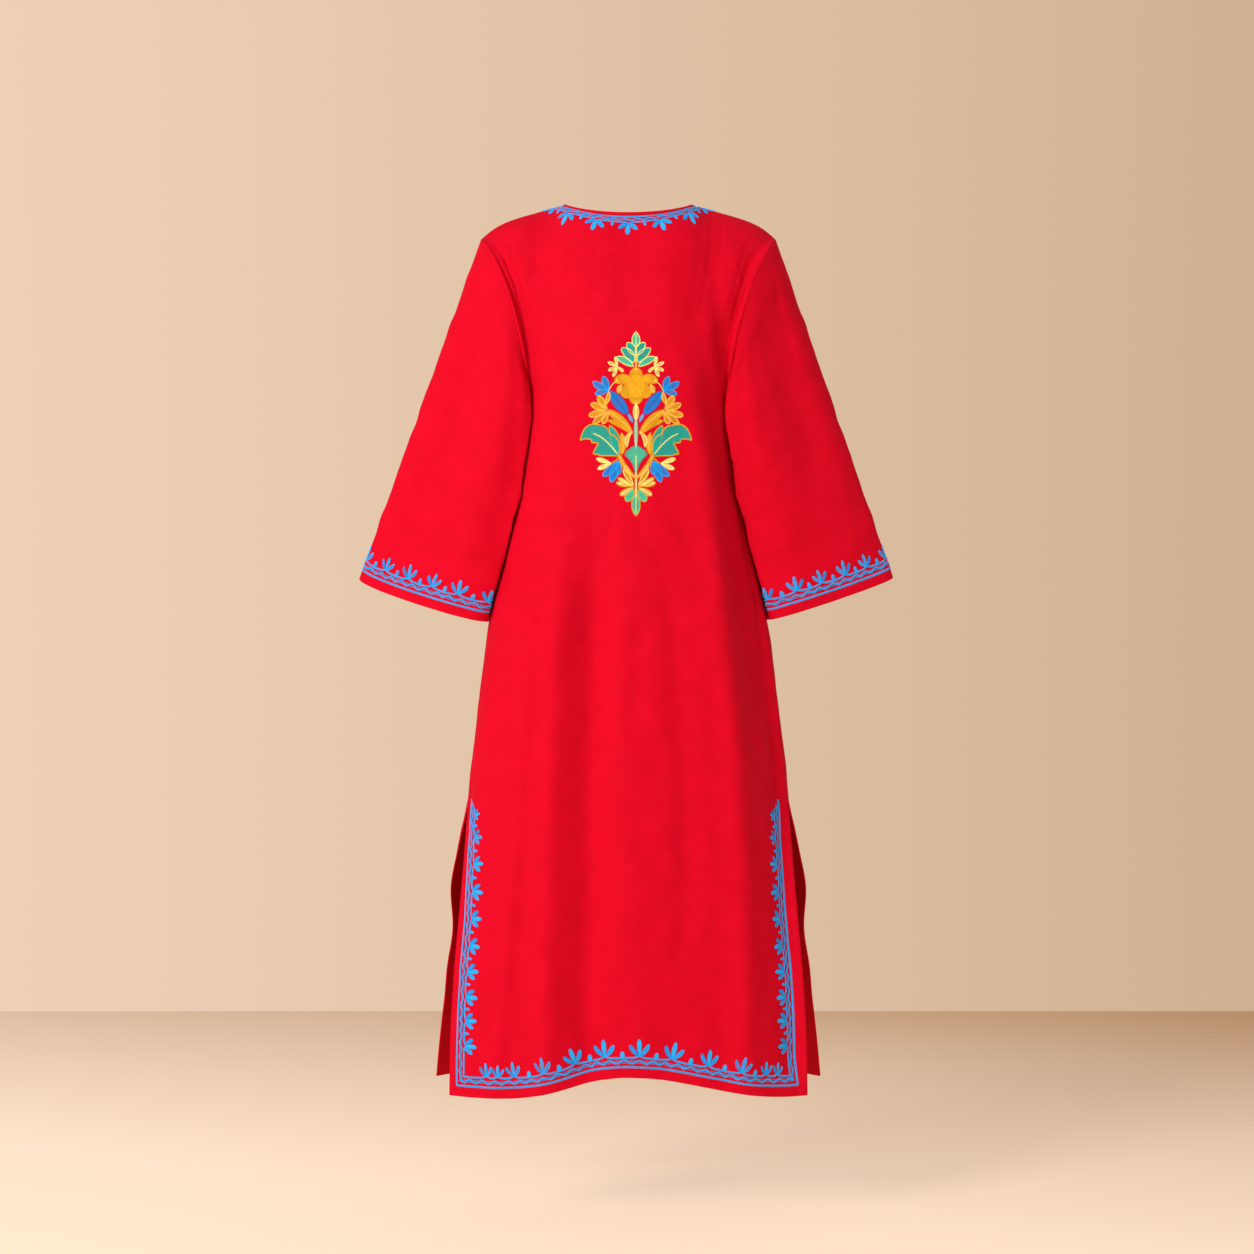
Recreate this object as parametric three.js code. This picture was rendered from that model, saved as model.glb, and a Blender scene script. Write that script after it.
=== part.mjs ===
// A pheran: a long Kashmiri tunic with wide flared sleeves, a round neck and open side slits, in the
// hollow form that it keeps when it is worn and hangs from the shoulders.
// Millimetres, +Z up. The wearer faces -Y and has the left arm on +X. The origin lies midway between the
// two ends of the shoulder seams at the neck, where the shoulders carry the cloth.
import * as THREE from "three";

// Cloth and seams
const CLOTH = 1.5; // one layer of wool-blend twill, with its turnings
const SEAM_GAP = 0.4; // clearance between two pieces at a seam
const EXPONENT = 2.4; // squareness of the body's rings: 2 is an ellipse

// Neck
const NECK_HALF = 92; // half the width of the neck, at the shoulder seams
const BACK_NECK = { y: 60, z: -20, fall: 1.3 }; // the middle of the back neckline
const FRONT_NECK = { y: -86, z: -108, fall: 1.4 }; // and of the front; a large fall keeps its ends high
const BINDING_WIDTH = 6;
const BINDING_THICKNESS = 2.6;

// Shoulder seam, as a height over the distance from the neck
const TIP_X = 218; // where the shoulder seam meets the sleeve
const SHOULDER_FALL = 33; // its even slope
const SHOULDER_DROP = 19; // its extra fall at the outer end

// Armhole: a loop from the shoulder tip down to the underarm
const UNDERARM = { x: 150, y: 12, z: -275 };
const ARMHOLE_SCOOP = 58; // how strongly the loop curves in towards the body
const ARMHOLE_BACK = 62; // how far the loop stands out behind and in front of its own middle
const ARMHOLE_FRONT = 56;
const VALLEY = 1.3; // radians that each wall turns towards the other under the arm
const VALLEY_START = 0.7; // and how far round from the tip they begin to turn

// Body: the height where the hanging rings begin, and the top of the slits
const LEVEL_Z = -330;
const SLIT_Z = -880;

// The ring that the body makes at each height: half its width, its depth behind and in front of the arms,
// and how far behind them the two panels meet.
const SECTIONS = [
  { z: -275, half: 150, back: 103, front: 122, edge: 12 },
  { z: -330, half: 152, back: 104, front: 124, edge: 14 },
  { z: -430, half: 163, back: 103, front: 121, edge: 18 },
  { z: -520, half: 182, back: 110, front: 119, edge: 21 },
  { z: -600, half: 202, back: 119, front: 120, edge: 24 },
  { z: -740, half: 222, back: 126, front: 124, edge: 28 },
  { z: -880, half: 237, back: 130, front: 129, edge: 30 },
  { z: -1035, half: 248, back: 132, front: 134, edge: 23 },
  { z: -1185, half: 258, back: 134, front: 138, edge: 16 },
  { z: -1310, half: 260, back: 134, front: 141, edge: 12 },
];

// Below the slits each panel opens out flatter: its ring widens, and its edges swing away from the other's.
const BACK_FLAP = [
  { z: -880, widen: 0, swing: 0 },
  { z: -930, widen: 6, swing: 18 },
  { z: -980, widen: 11, swing: 29 },
  { z: -1035, widen: 17, swing: 39 },
  { z: -1110, widen: 25, swing: 50 },
  { z: -1185, widen: 33, swing: 60 },
  { z: -1310, widen: 43, swing: 70 },
];
const FRONT_FLAP = [
  { z: -880, widen: 0, swing: 0 },
  { z: -960, widen: 11, swing: 15 },
  { z: -1010, widen: 17, swing: 27 },
  { z: -1073, widen: 12, swing: 41 },
  { z: -1133, widen: 20, swing: 52 },
  { z: -1185, widen: 26, swing: 60 },
  { z: -1310, widen: 50, swing: 76 },
];

// The folds of each panel. A fold runs down the cloth between two heights, past three distances from the
// middle, with + on the wearer's left. Its reach is half its width, and + depth is a ridge.
const BACK_FOLDS = [
  { from: -400, to: -1330, top: 42, middle: 56, foot: 56, reach: 26, depth: -18 },
  { from: -380, to: -1330, top: 90, middle: 112, foot: 118, reach: 21, depth: 12 },
  { from: -380, to: -1330, top: 125, middle: 156, foot: 196, reach: 12, depth: 5 },
  { from: -190, to: -1330, top: -72, middle: -148, foot: -166, reach: 22, depth: 11 },
  { from: -420, to: -1330, top: -140, middle: -226, foot: -246, reach: 36, depth: -14 },
  { from: -140, to: -780, top: -95, middle: -152, foot: -192, reach: 16, depth: -5 },
  { from: -440, to: -1120, top: -42, middle: -77, foot: -84, reach: 20, depth: -6 },
  { from: -880, to: -1330, top: 5, middle: -12, foot: -20, reach: 26, depth: 4 },
  { from: -50, to: -200, top: 122, middle: 140, foot: 152, reach: 12, depth: -5 },
  { from: -60, to: -300, top: -118, middle: -134, foot: -144, reach: 13, depth: -6 },
];
const FRONT_FOLDS = [
  { from: -330, to: -1330, top: 70, middle: 122, foot: 150, reach: 30, depth: 13 },
  { from: -360, to: -1330, top: -62, middle: -128, foot: -166, reach: 30, depth: 15 },
  { from: -480, to: -1330, top: 24, middle: 38, foot: 30, reach: 24, depth: -9 },
  { from: -420, to: -1330, top: -20, middle: -46, foot: -60, reach: 22, depth: -7 },
  { from: -560, to: -1330, top: 150, middle: 190, foot: 214, reach: 24, depth: -8 },
  { from: -620, to: -1330, top: -164, middle: -196, foot: -222, reach: 22, depth: -7 },
];
const FOLD_GROWTH = 260; // a long fold reaches its full depth this far below its start
const FOLD_FADE = 90; // a fold that ends above the hem fades out over this height

// The hem hangs lowest at the corners and rises towards the middle of each panel. A large fall keeps it
// low for longer on that side.
const BACK_HEM = { corner: -1303, rise: 34, falls: { left: 5, right: 2.6 } };
const FRONT_HEM = { corner: -1299, rise: 32, falls: { left: 3, right: 3 } };

// Shares of a panel's half width where its top edge passes from neck to shoulder and to armhole
const NECK_SHARE = 0.42;
const SHOULDER_SHARE = 0.78;

// How the cloth leaves a panel's top edge: its direction, and the pull that carries it on that way.
const BACK_LEAVING = [
  { share: 0, x: 0, y: 0.36, z: -0.93, pull: 190 },
  { share: 0.2, x: 0.25, y: 0.72, z: -0.64, pull: 225 },
  { share: 0.42, x: 0.6, y: 0.72, z: -0.36, pull: 270 },
  { share: 0.6, x: 0.12, y: 0.92, z: -0.28, pull: 280 },
  { share: 0.78, x: -0.48, y: 0.86, z: -0.14, pull: 250 },
  { share: 0.84, x: -0.6, y: 0.58, z: -0.5, pull: 210 },
  { share: 0.9, x: -0.5, y: 0.2, z: -0.84, pull: 150 },
  { share: 1, x: 0, y: 0, z: -1, pull: 55 },
];
const FRONT_LEAVING = [
  { share: 0, x: 0, y: -0.4, z: -0.92, pull: 190 },
  { share: 0.2, x: 0.25, y: -0.55, z: -0.75, pull: 225 },
  { share: 0.42, x: 0.6, y: -0.7, z: -0.38, pull: 270 },
  { share: 0.6, x: 0.12, y: -0.92, z: -0.3, pull: 275 },
  { share: 0.78, x: -0.48, y: -0.84, z: -0.16, pull: 250 },
  { share: 0.84, x: -0.6, y: -0.56, z: -0.52, pull: 210 },
  { share: 0.9, x: -0.5, y: -0.2, z: -0.84, pull: 150 },
  { share: 1, x: 0, y: 0, z: -1, pull: 55 },
];

const YOKE_SOFTNESS = 0.08; // how wide a share of the half width the yoke is smoothed over
const YOKE_WEIGHTS = [1, 4, 6, 4, 1].map((weight) => weight / 16);

// Sleeves: the cuff's outer and inner corners, how far its edge sags below the line between them, and how
// far behind the shoulder seam the cuff's middle hangs
const SLEEVES = [
  { name: "left_sleeve", side: 1, cuffOut: { x: 399, z: -553 }, cuffInZ: -611, sag: 11, spine: -10 },
  { name: "right_sleeve", side: -1, cuffOut: { x: 393, z: -551 }, cuffInZ: -612, sag: 5, spine: -13 },
];
const SLEEVE_CLEAR = 6; // between the sleeve's inner side and the body at the cuff
const SLEEVE_PRESS = 26; // how far the inner side would hang into the body above the cuff,
const SLEEVE_TOUCH = 5; // if the body didn't keep it this far off
const CUFF_BACK = 46; // how far the cuff stands out behind and in front of its own middle
const CUFF_FRONT = 44;
const CUFF_TAPER = 0.5; // the cuff is thinner towards its outer corner
// Each fold lies at a turn round the sleeve, in degrees from the outer side over the back.
const SLEEVE_FOLDS = [
  { from: 0.02, to: 0.72, turn: 62, reach: 16, depth: -7 },
  { from: 0.1, to: 1.2, turn: 96, reach: 20, depth: 5 },
  { from: 0.12, to: 0.9, turn: 116, reach: 15, depth: -6 },
  { from: 0.05, to: 0.8, turn: 292, reach: 17, depth: -6 },
  { from: 0.2, to: 1.2, turn: 232, reach: 18, depth: -5 },
];

// Facets: the steps of each stretch of a panel or sleeve
const NECK_STEPS = 6;
const SHOULDER_STEPS = 6;
const ARMHOLE_STEPS = 10;
const YOKE_ROWS = 8; // from the top edge to the level line
const SKIRT_ROWS = 6; // from the level line to the slits
const SLIT_ROWS = 6; // from the slits to the hem
const SLEEVE_ROWS = 12;
const ARC_STEPS = 64; // for measuring along a ring

const lerp = THREE.MathUtils.lerp;
const clamp = THREE.MathUtils.clamp;
const smooth = (t) => THREE.MathUtils.smoothstep(t, 0, 1);
const steps = (count) => Array.from({ length: count + 1 }, (_, i) => i / count);

// One column of a table, on a smooth curve through the rows; the ends hold their value.
function follow(rows, key, at, name) {
  const last = rows.length - 1;
  const share = (k) => clamp((at - rows[k][key]) / (rows[k + 1][key] - rows[k][key]), 0, 1);
  let k = 0;
  while (k < last - 1 && share(k) === 1) k++;
  const slope = (j) => {
    const [a, b] = [rows[Math.max(j - 1, 0)], rows[Math.min(j + 1, last)]];
    return (b[name] - a[name]) / (b[key] - a[key]);
  };
  const span = rows[k + 1][key] - rows[k][key];
  const [t, t2, t3] = [1, 2, 3].map((power) => share(k) ** power);
  const ends = (2 * t3 - 3 * t2 + 1) * rows[k][name] + (3 * t2 - 2 * t3) * rows[k + 1][name];
  return ends + span * ((t3 - 2 * t2 + t) * slope(k) + (t3 - t2) * slope(k + 1));
}

// The two panels share the functions below. The side is 1 for the back panel and -1 for the front panel.
const BACK = {
  side: 1,
  folds: BACK_FOLDS,
  hem: BACK_HEM,
  leaving: BACK_LEAVING,
  neck: BACK_NECK,
  flap: BACK_FLAP,
};
const FRONT = {
  side: -1,
  folds: FRONT_FOLDS,
  hem: FRONT_HEM,
  leaving: FRONT_LEAVING,
  neck: FRONT_NECK,
  flap: FRONT_FLAP,
};
const ring = (name, z) => follow(SECTIONS, "z", z, name);
const halfWidth = (panel, z) => ring("half", z) + follow(panel.flap, "z", z, "widen");
const edgeDepth = (panel, z) => ring("edge", z) + panel.side * follow(panel.flap, "z", z, "swing");

// How far a fold table moves the cloth out at a distance from the middle and a height.
function foldDepth(folds, x, z) {
  return folds.reduce((sum, fold) => {
    const t = clamp((z - fold.from) / (fold.to - fold.from), 0, 1);
    const early = (1 - t) * (1 - 2 * t) * fold.top + 4 * t * (1 - t) * fold.middle;
    const away = (x - early - t * (2 * t - 1) * fold.foot) / fold.reach;
    const grown = smooth((fold.from - z) / Math.min(FOLD_GROWTH, (fold.from - fold.to) / 2));
    const fading = smooth((z - fold.to) / FOLD_FADE);
    return sum + fold.depth * grown * fading * Math.exp(-away * away);
  }, 0);
}

// A point of the hanging cloth, before its folds, at a share of the half width from 0 to 1 and a height.
function skirtPoint(panel, share, z) {
  const half = halfWidth(panel, z);
  const edgeY = edgeDepth(panel, z);
  const [back, front] = [ring("back", z), ring("front", z)];
  const depthAt = (y) => (y > 0 ? back : front);
  const edgeX = half * (1 - (Math.abs(edgeY) / depthAt(edgeY)) ** EXPONENT) ** (1 / EXPONENT);
  const middle = (panel.side * Math.PI) / 2;
  const arc = steps(ARC_STEPS).map((t) => {
    const angle = lerp(middle, Math.atan2(edgeY, edgeX), t);
    const [c, s] = [Math.cos(angle), Math.sin(angle)];
    const size = (Math.abs(c) / half) ** EXPONENT + (Math.abs(s) / depthAt(s)) ** EXPONENT;
    return new THREE.Vector3(c, s, 0).multiplyScalar(size ** (-1 / EXPONENT)).setZ(z);
  });
  const lengths = [0];
  arc.slice(1).forEach((p, i) => lengths.push(lengths[i] + p.distanceTo(arc[i])));
  const at = share * (lengths[ARC_STEPS] - SEAM_GAP / 2);
  const i = clamp(lengths.findIndex((length) => length > at) - 1, 0, ARC_STEPS - 1);
  return arc[i].lerp(arc[i + 1], (at - lengths[i]) / (lengths[i + 1] - lengths[i]));
}

// The shoulder seam's height and slope at a distance from the middle.
const seamShare = (x) => (x - NECK_HALF) / (TIP_X - NECK_HALF);
const shoulderHeight = (x) => -SHOULDER_FALL * seamShare(x) - SHOULDER_DROP * seamShare(x) ** 6;
const shoulderSlope = (x) => (shoulderHeight(x + 1) - shoulderHeight(x - 1)) / 2;

// The neckline from the middle of a panel, at turn 0, to the shoulder seam, at turn 90 degrees: its point,
// the wall's direction there, and the direction over the cloth away from the neck.
function neckFrame(panel, turn) {
  const at = (angle) => {
    const [c, s] = [Math.cos(angle), Math.sin(angle)];
    const fallen = Math.max(c, 0) ** panel.neck.fall;
    return new THREE.Vector3(NECK_HALF * s, panel.neck.y * c, panel.neck.z * fallen);
  };
  const leave = panel.leaving[0];
  const seam = new THREE.Vector3(-shoulderSlope(NECK_HALF), 0, 1).normalize();
  const middle = new THREE.Vector3(0, -leave.z * panel.side, leave.y * panel.side);
  const normal = middle.lerp(seam, Math.sin(turn) ** 2).normalize();
  const inner = Math.min(turn, Math.PI / 2 - 0.02);
  const tangent = at(inner + 0.02).sub(at(inner - 0.02)).normalize();
  const away = normal.clone().cross(tangent).multiplyScalar(panel.side);
  const isSeam = turn > Math.PI / 2 - 0.001;
  if (isSeam) away.set(1, 0, shoulderSlope(NECK_HALF));
  return { point: at(turn), normal, away: away.normalize() };
}

// The armhole loop: turn 0 is the shoulder tip, 180 degrees the underarm, + turns run over the back.
function armholePoint(turn) {
  const q = (1 - Math.cos(turn)) / 2;
  const out = Math.sin(turn) * (turn > 0 ? ARMHOLE_BACK : ARMHOLE_FRONT);
  const x = lerp(TIP_X, UNDERARM.x, q) - ARMHOLE_SCOOP * q * (1 - q);
  return new THREE.Vector3(x, UNDERARM.y * q + out, lerp(shoulderHeight(TIP_X), UNDERARM.z, q));
}

// How far the walls of body and sleeve turn towards each other at the armhole: not at all over the
// shoulder, and almost face to face under the arm.
const valley = (turn) => VALLEY * smooth((Math.abs(turn) - VALLEY_START) / (Math.PI - VALLEY_START));

// The armhole seam: its point, the direction across it from body to sleeve, and the wall direction of
// each.
function armholeSeam(turn) {
  const tip = new THREE.Vector3(0.82, 0, 0.57).multiplyScalar((1 + Math.cos(turn)) / 2);
  const under = new THREE.Vector3(0, 0, -1).multiplyScalar((1 - Math.cos(turn)) / 2);
  const normal = tip.add(under).add(new THREE.Vector3(0, 1.2 * Math.sin(turn), 0)).normalize();
  const tangent = armholePoint(turn + 0.01).sub(armholePoint(turn - 0.01)).normalize();
  const across = tangent.cross(normal).normalize();
  const [c, s] = [Math.cos(valley(turn)), Math.sin(valley(turn))];
  const wall = (sign) => normal.clone().multiplyScalar(c).addScaledVector(across, sign * s);
  return { point: armholePoint(turn), across, bodyWall: wall(1), sleeveWall: wall(-1) };
}

// The top edge of a panel at a share of its half width: its point, and the wall's direction there.
function topEdge(panel, share) {
  if (share < NECK_SHARE) {
    const { point, normal, away } = neckFrame(panel, (share / NECK_SHARE) * (Math.PI / 2));
    return { point: point.addScaledVector(away, BINDING_WIDTH + SEAM_GAP), normal };
  }
  const seamY = (panel.side * SEAM_GAP) / 2;
  if (share < SHOULDER_SHARE) {
    const start = NECK_HALF + BINDING_WIDTH + SEAM_GAP;
    const x = lerp(start, TIP_X, (share - NECK_SHARE) / (SHOULDER_SHARE - NECK_SHARE));
    const normal = new THREE.Vector3(-shoulderSlope(x), 0, 1).normalize();
    return { point: new THREE.Vector3(x, seamY, shoulderHeight(x)), normal };
  }
  const q = (share - SHOULDER_SHARE) / (1 - SHOULDER_SHARE);
  const margin = SEAM_GAP / 2 / ARMHOLE_BACK;
  const turn = panel.side * clamp(q * Math.PI, margin, Math.PI - margin);
  const { point, across, bodyWall } = armholeSeam(turn);
  return { point: point.addScaledVector(across, -SEAM_GAP / 2), normal: bodyWall };
}

// A point of the yoke, which joins a panel's top edge to its level line: down is 0 at the top edge.
function yokePoint(panel, share, down) {
  const top = topEdge(panel, share).point;
  const foot = skirtPoint(panel, share, LEVEL_Z);
  const landing = skirtPoint(panel, share, LEVEL_Z - 5).sub(foot).multiplyScalar((top.z - LEVEL_Z) / 5);
  const at = (name) => follow(panel.leaving, "share", share, name);
  const leaving = new THREE.Vector3(at("x"), at("y"), at("z")).setLength(at("pull"));
  const [t2, t3] = [down ** 2, down ** 3];
  return new THREE.Vector3()
    .addScaledVector(top, 2 * t3 - 3 * t2 + 1)
    .addScaledVector(foot, 3 * t2 - 2 * t3)
    .addScaledVector(leaving, t3 - 2 * t2 + down)
    .addScaledVector(landing, t3 - t2);
}

// The mean of neighbouring yoke points, so that no crease runs down from the corner of the neck.
function softYokePoint(panel, share, down) {
  const inside = smooth(down * 4) * smooth((1 - down) * 3) * Math.min(1, (1 - share) * 4);
  return YOKE_WEIGHTS.reduce((sum, weight, k) => {
    const near = share + (k - 2) * YOKE_SOFTNESS * inside;
    const point = yokePoint(panel, Math.abs(near), down);
    return sum.addScaledVector(point.setX(near < 0 ? -point.x : point.x), weight);
  }, new THREE.Vector3());
}

// The shares of the half width where a panel has its columns of points, from the middle to its side.
function panelShares() {
  const neck = steps(NECK_STEPS).map((t) => t * NECK_SHARE);
  const shoulder = steps(SHOULDER_STEPS).map((t) => lerp(NECK_SHARE, SHOULDER_SHARE, t));
  const armhole = steps(ARMHOLE_STEPS).map((t) => lerp(SHOULDER_SHARE, 1, t));
  return [...neck, ...shoulder.slice(1), ...armhole.slice(1)];
}

// The outer points of a panel before its folds, row by row from the top edge to the hem.
function panelRows(panel, shares) {
  const yoke = steps(YOKE_ROWS).map((down) => shares.map((share) => softYokePoint(panel, share, down)));
  const skirt = steps(SKIRT_ROWS).map((t) => {
    const z = lerp(LEVEL_Z, SLIT_Z, t);
    return shares.map((share) => skirtPoint(panel, share, z));
  });
  const half = (hand) => {
    const flaps = steps(SLIT_ROWS).map((t) =>
      shares.map((share) => {
        const { corner, rise, falls } = panel.hem;
        const hemZ = corner + rise * Math.cos((share * Math.PI) / 2) ** falls[hand];
        return skirtPoint(panel, share, lerp(SLIT_Z, hemZ, t));
      }),
    );
    return [...yoke, ...skirt.slice(1), ...flaps.slice(1)];
  };
  const mirror = (row) => row.slice(1).toReversed().map((p) => p.clone().setX(-p.x));
  const right = half("right");
  return half("left").map((row, i) => [...mirror(right[i]), ...row]);
}

// The outward normals of a grid of points, which wraps round where it is a tube.
function gridNormals(rows, isTube, turn) {
  const [last, width] = [rows.length - 1, rows[0].length];
  const column = (j) => (isTube ? (j + width) % width : clamp(j, 0, width - 1));
  return rows.map((row, i) =>
    row.map((_, j) => {
      const across = rows[i][column(j + 1)].clone().sub(rows[i][column(j - 1)]);
      const down = rows[Math.min(i + 1, last)][j].clone().sub(rows[Math.max(i - 1, 0)][j]);
      return across.cross(down).multiplyScalar(turn).normalize();
    }),
  );
}

// A closed wall between an outer and an inner grid of points, which share their rows and columns.
function wallGeometry(outer, inner, isTube) {
  const [height, width] = [outer.length, outer[0].length];
  const positions = [...outer.flat(), ...inner.flat()].flatMap((p) => p.toArray());
  const at = (layer, i, j) => (layer * height + i) * width + (j % width);
  const indices = [];
  const quad = (a, b, c, d) => indices.push(a, b, c, a, c, d);
  const columns = isTube ? width : width - 1;
  for (let j = 0; j < columns; j++) {
    for (let i = 0; i < height - 1; i++) {
      quad(at(0, i, j), at(0, i + 1, j), at(0, i + 1, j + 1), at(0, i, j + 1));
      quad(at(1, i, j), at(1, i, j + 1), at(1, i + 1, j + 1), at(1, i + 1, j));
    }
    quad(at(0, 0, j), at(0, 0, j + 1), at(1, 0, j + 1), at(1, 0, j));
    quad(at(0, height - 1, j), at(1, height - 1, j), at(1, height - 1, j + 1), at(0, height - 1, j + 1));
  }
  for (let i = 0; i < height - 1 && !isTube; i++) {
    quad(at(0, i, 0), at(1, i, 0), at(1, i + 1, 0), at(0, i + 1, 0));
    const j = width - 1;
    quad(at(0, i, j), at(0, i + 1, j), at(1, i + 1, j), at(1, i, j));
  }
  const geometry = new THREE.BufferGeometry();
  geometry.setAttribute("position", new THREE.Float32BufferAttribute(positions, 3));
  geometry.setIndex(indices);
  return facingOut(geometry);
}

// Turns a closed geometry's faces round if its volume comes out negative.
function facingOut(geometry) {
  const { array } = geometry.attributes.position;
  const { array: index } = geometry.index;
  const [a, b, c] = [new THREE.Vector3(), new THREE.Vector3(), new THREE.Vector3()];
  let volume = 0;
  for (let i = 0; i < index.length; i += 3) {
    a.fromArray(array, index[i] * 3);
    b.fromArray(array, index[i + 1] * 3);
    c.fromArray(array, index[i + 2] * 3);
    volume += a.dot(b.cross(c));
  }
  if (volume < 0) index.reverse();
  geometry.computeVertexNormals();
  return geometry;
}

// The inner face of a wall: the outer points moved in by the cloth's thickness.
const movedIn = (rows, normals, by) =>
  rows.map((row, i) => row.map((p, j) => p.clone().addScaledVector(normals[i][j], -by)));

function panelGeometry(panel) {
  const shares = panelShares();
  const columns = [...shares.slice(1).toReversed().map((share) => -share), ...shares];
  const rows = panelRows(panel, shares);
  const smoothNormals = gridNormals(rows, false, panel.side);
  rows.slice(1).forEach((row, i) =>
    row.forEach((p, j) => {
      const held = smooth(Math.min((i + 1) / 2, (1 - Math.abs(columns[j])) / 0.06));
      p.addScaledVector(smoothNormals[i + 1][j], held * foldDepth(panel.folds, p.x, p.z));
    }),
  );
  const normals = gridNormals(rows, false, panel.side);
  columns.forEach((share, j) => {
    const { normal } = topEdge(panel, Math.abs(share));
    normals[0][j] = share < 0 ? normal.setX(-normal.x) : normal;
  });
  // Down to the slits both panels' walls meet at the side seams in the same direction.
  rows.slice(0, YOKE_ROWS + SKIRT_ROWS + 1).forEach((row, i) =>
    [0, columns.length - 1].forEach((j) => {
      const { x, y, z } = row[j];
      normals[i][j] = new THREE.Vector3(x / ring("half", z) ** 2, y / ring("back", z) ** 2, 0).normalize();
    }),
  );
  return wallGeometry(rows, movedIn(rows, normals, CLOTH), false);
}

// How far out the body's side lies at a depth and a height.
function bodySide(y, z) {
  const away = Math.min(Math.abs(y) / ring(y > 0 ? "back" : "front", z), 0.95);
  return ring("half", z) * (1 - away ** EXPONENT) ** (1 / EXPONENT);
}

// A point of a sleeve: s is 0 at the armhole and 1 at the cuff, and turn goes round as the armhole's. The
// inner side hangs flat against the body.
function sleevePoint(sleeve, s, turn) {
  const even = (1 - Math.cos(turn)) / 2;
  const q = even + even ** 2 * (1 - even) * smooth(s / 0.16);
  const innerZ = lerp(UNDERARM.z, sleeve.cuffInZ, s);
  const innerX = ring("half", innerZ) + SLEEVE_CLEAR * smooth(s / 0.15);
  const outerX = lerp(TIP_X, sleeve.cuffOut.x, s);
  const outerZ = lerp(shoulderHeight(TIP_X), sleeve.cuffOut.z, s);
  const x = lerp(outerX, innerX, q) - ARMHOLE_SCOOP * q * (1 - q) * (1 - s) ** 2;
  const z = lerp(outerZ, innerZ, q) - sleeve.sag * s ** 2 * Math.abs(Math.sin(turn));
  const isBack = Math.sin(turn) > 0;
  const out = isBack ? lerp(ARMHOLE_BACK, CUFF_BACK, s) : lerp(ARMHOLE_FRONT, CUFF_FRONT, s);
  const degrees = THREE.MathUtils.radToDeg(turn);
  const fold = SLEEVE_FOLDS.reduce((sum, f) => {
    const away = (degrees - f.turn) / f.reach;
    const strength = smooth((s - f.from) / 0.2) * smooth((f.to - s) / 0.2);
    return sum + f.depth * strength * Math.exp(-away * away);
  }, 0);
  const middle = lerp(UNDERARM.y * q, sleeve.spine, smooth(s));
  const y = middle + Math.sin(turn) * out * (1 - CUFF_TAPER * s * Math.cos(turn)) + (isBack ? fold : -fold);
  if (q < 0.5) return new THREE.Vector3(x, y, z);
  const pressed = x - SLEEVE_PRESS * q ** 4 * smooth((s + 0.02) / 0.13) * smooth((1.05 - s) / 0.15);
  const against = bodySide(y, z) + SLEEVE_TOUCH * smooth(s / 0.12);
  const soft = Math.hypot(pressed - against, 3 * smooth(s / 0.12));
  return new THREE.Vector3((pressed + against + soft) / 2, y, z);
}

function sleeveGeometry(sleeve) {
  const turns = Array.from({ length: 2 * ARMHOLE_STEPS }, (_, j) => (j * Math.PI) / ARMHOLE_STEPS);
  const rows = steps(SLEEVE_ROWS).map((s) => turns.map((turn) => sleevePoint(sleeve, s, turn)));
  const normals = gridNormals(rows, true, 1);
  const sense = Math.sign(normals[SLEEVE_ROWS / 2][0].x);
  normals.flat().forEach((normal) => normal.multiplyScalar(sense));
  turns.forEach((turn, j) => {
    const signed = turn > Math.PI ? turn - 2 * Math.PI : turn;
    const { point, across, sleeveWall } = armholeSeam(signed);
    rows[0][j] = point.addScaledVector(across, SEAM_GAP / 2);
    normals[0][j] = sleeveWall;
  });
  const inner = movedIn(rows, normals, CLOTH);
  [...rows.flat(), ...inner.flat()].forEach((p) => p.setX(sleeve.side * p.x));
  return wallGeometry(rows, inner, true);
}

// The neck binding: a narrow strip that lies round the neckline, in line with the panels' cloth.
function bindingGeometry() {
  const turns = steps(NECK_STEPS).map((t) => (t * Math.PI) / 2);
  const quarter = (panel, sign) =>
    turns.map((turn) => {
      const { point, normal, away } = neckFrame(panel, turn);
      [point, normal, away].forEach((v) => v.setX(sign * v.x));
      return { point, normal, away };
    });
  const stations = [
    ...quarter(BACK, 1),
    ...quarter(FRONT, 1).toReversed().slice(1),
    ...quarter(FRONT, -1).slice(1),
    ...quarter(BACK, -1).toReversed().slice(1, -1),
  ];
  const rise = (BINDING_THICKNESS - CLOTH) / 2;
  const edge = (along, up) =>
    stations.map(({ point, normal, away }) =>
      point.clone().addScaledVector(away, along).addScaledVector(normal, up),
    );
  const outer = [edge(0, rise), edge(BINDING_WIDTH, rise)];
  const inner = [edge(0, rise - BINDING_THICKNESS), edge(BINDING_WIDTH, rise - BINDING_THICKNESS)];
  return wallGeometry(outer, inner, true);
}

const RED_TWILL = { color: 0xd8061f, roughness: 0.85, metalness: 0 };
const RED_BINDING = { color: 0xc8051c, roughness: 0.8, metalness: 0 };

function piece(name, geometry, finish) {
  const mesh = new THREE.Mesh(geometry, new THREE.MeshStandardMaterial(finish));
  mesh.name = name;
  return mesh;
}

const pheran = new THREE.Group();
pheran.name = "pheran";
pheran.add(piece("back_panel", panelGeometry(BACK), RED_TWILL));
pheran.add(piece("front_panel", panelGeometry(FRONT), RED_TWILL));
SLEEVES.forEach((sleeve) => pheran.add(piece(sleeve.name, sleeveGeometry(sleeve), RED_TWILL)));
pheran.add(piece("neck_binding", bindingGeometry(), RED_BINDING));

export default pheran;
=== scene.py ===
# A pheran: a long Kashmiri tunic of red twill with wide flared sleeves, a round neck, open side slits and
# chain-stitch embroidery, in the hollow form that it keeps when it is worn and hangs from the shoulders.
# The tables below are in millimetres, as a cutter writes them, and every mesh is made in metres.
# The wearer faces -Y and has the left arm on +X.
import math

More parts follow.
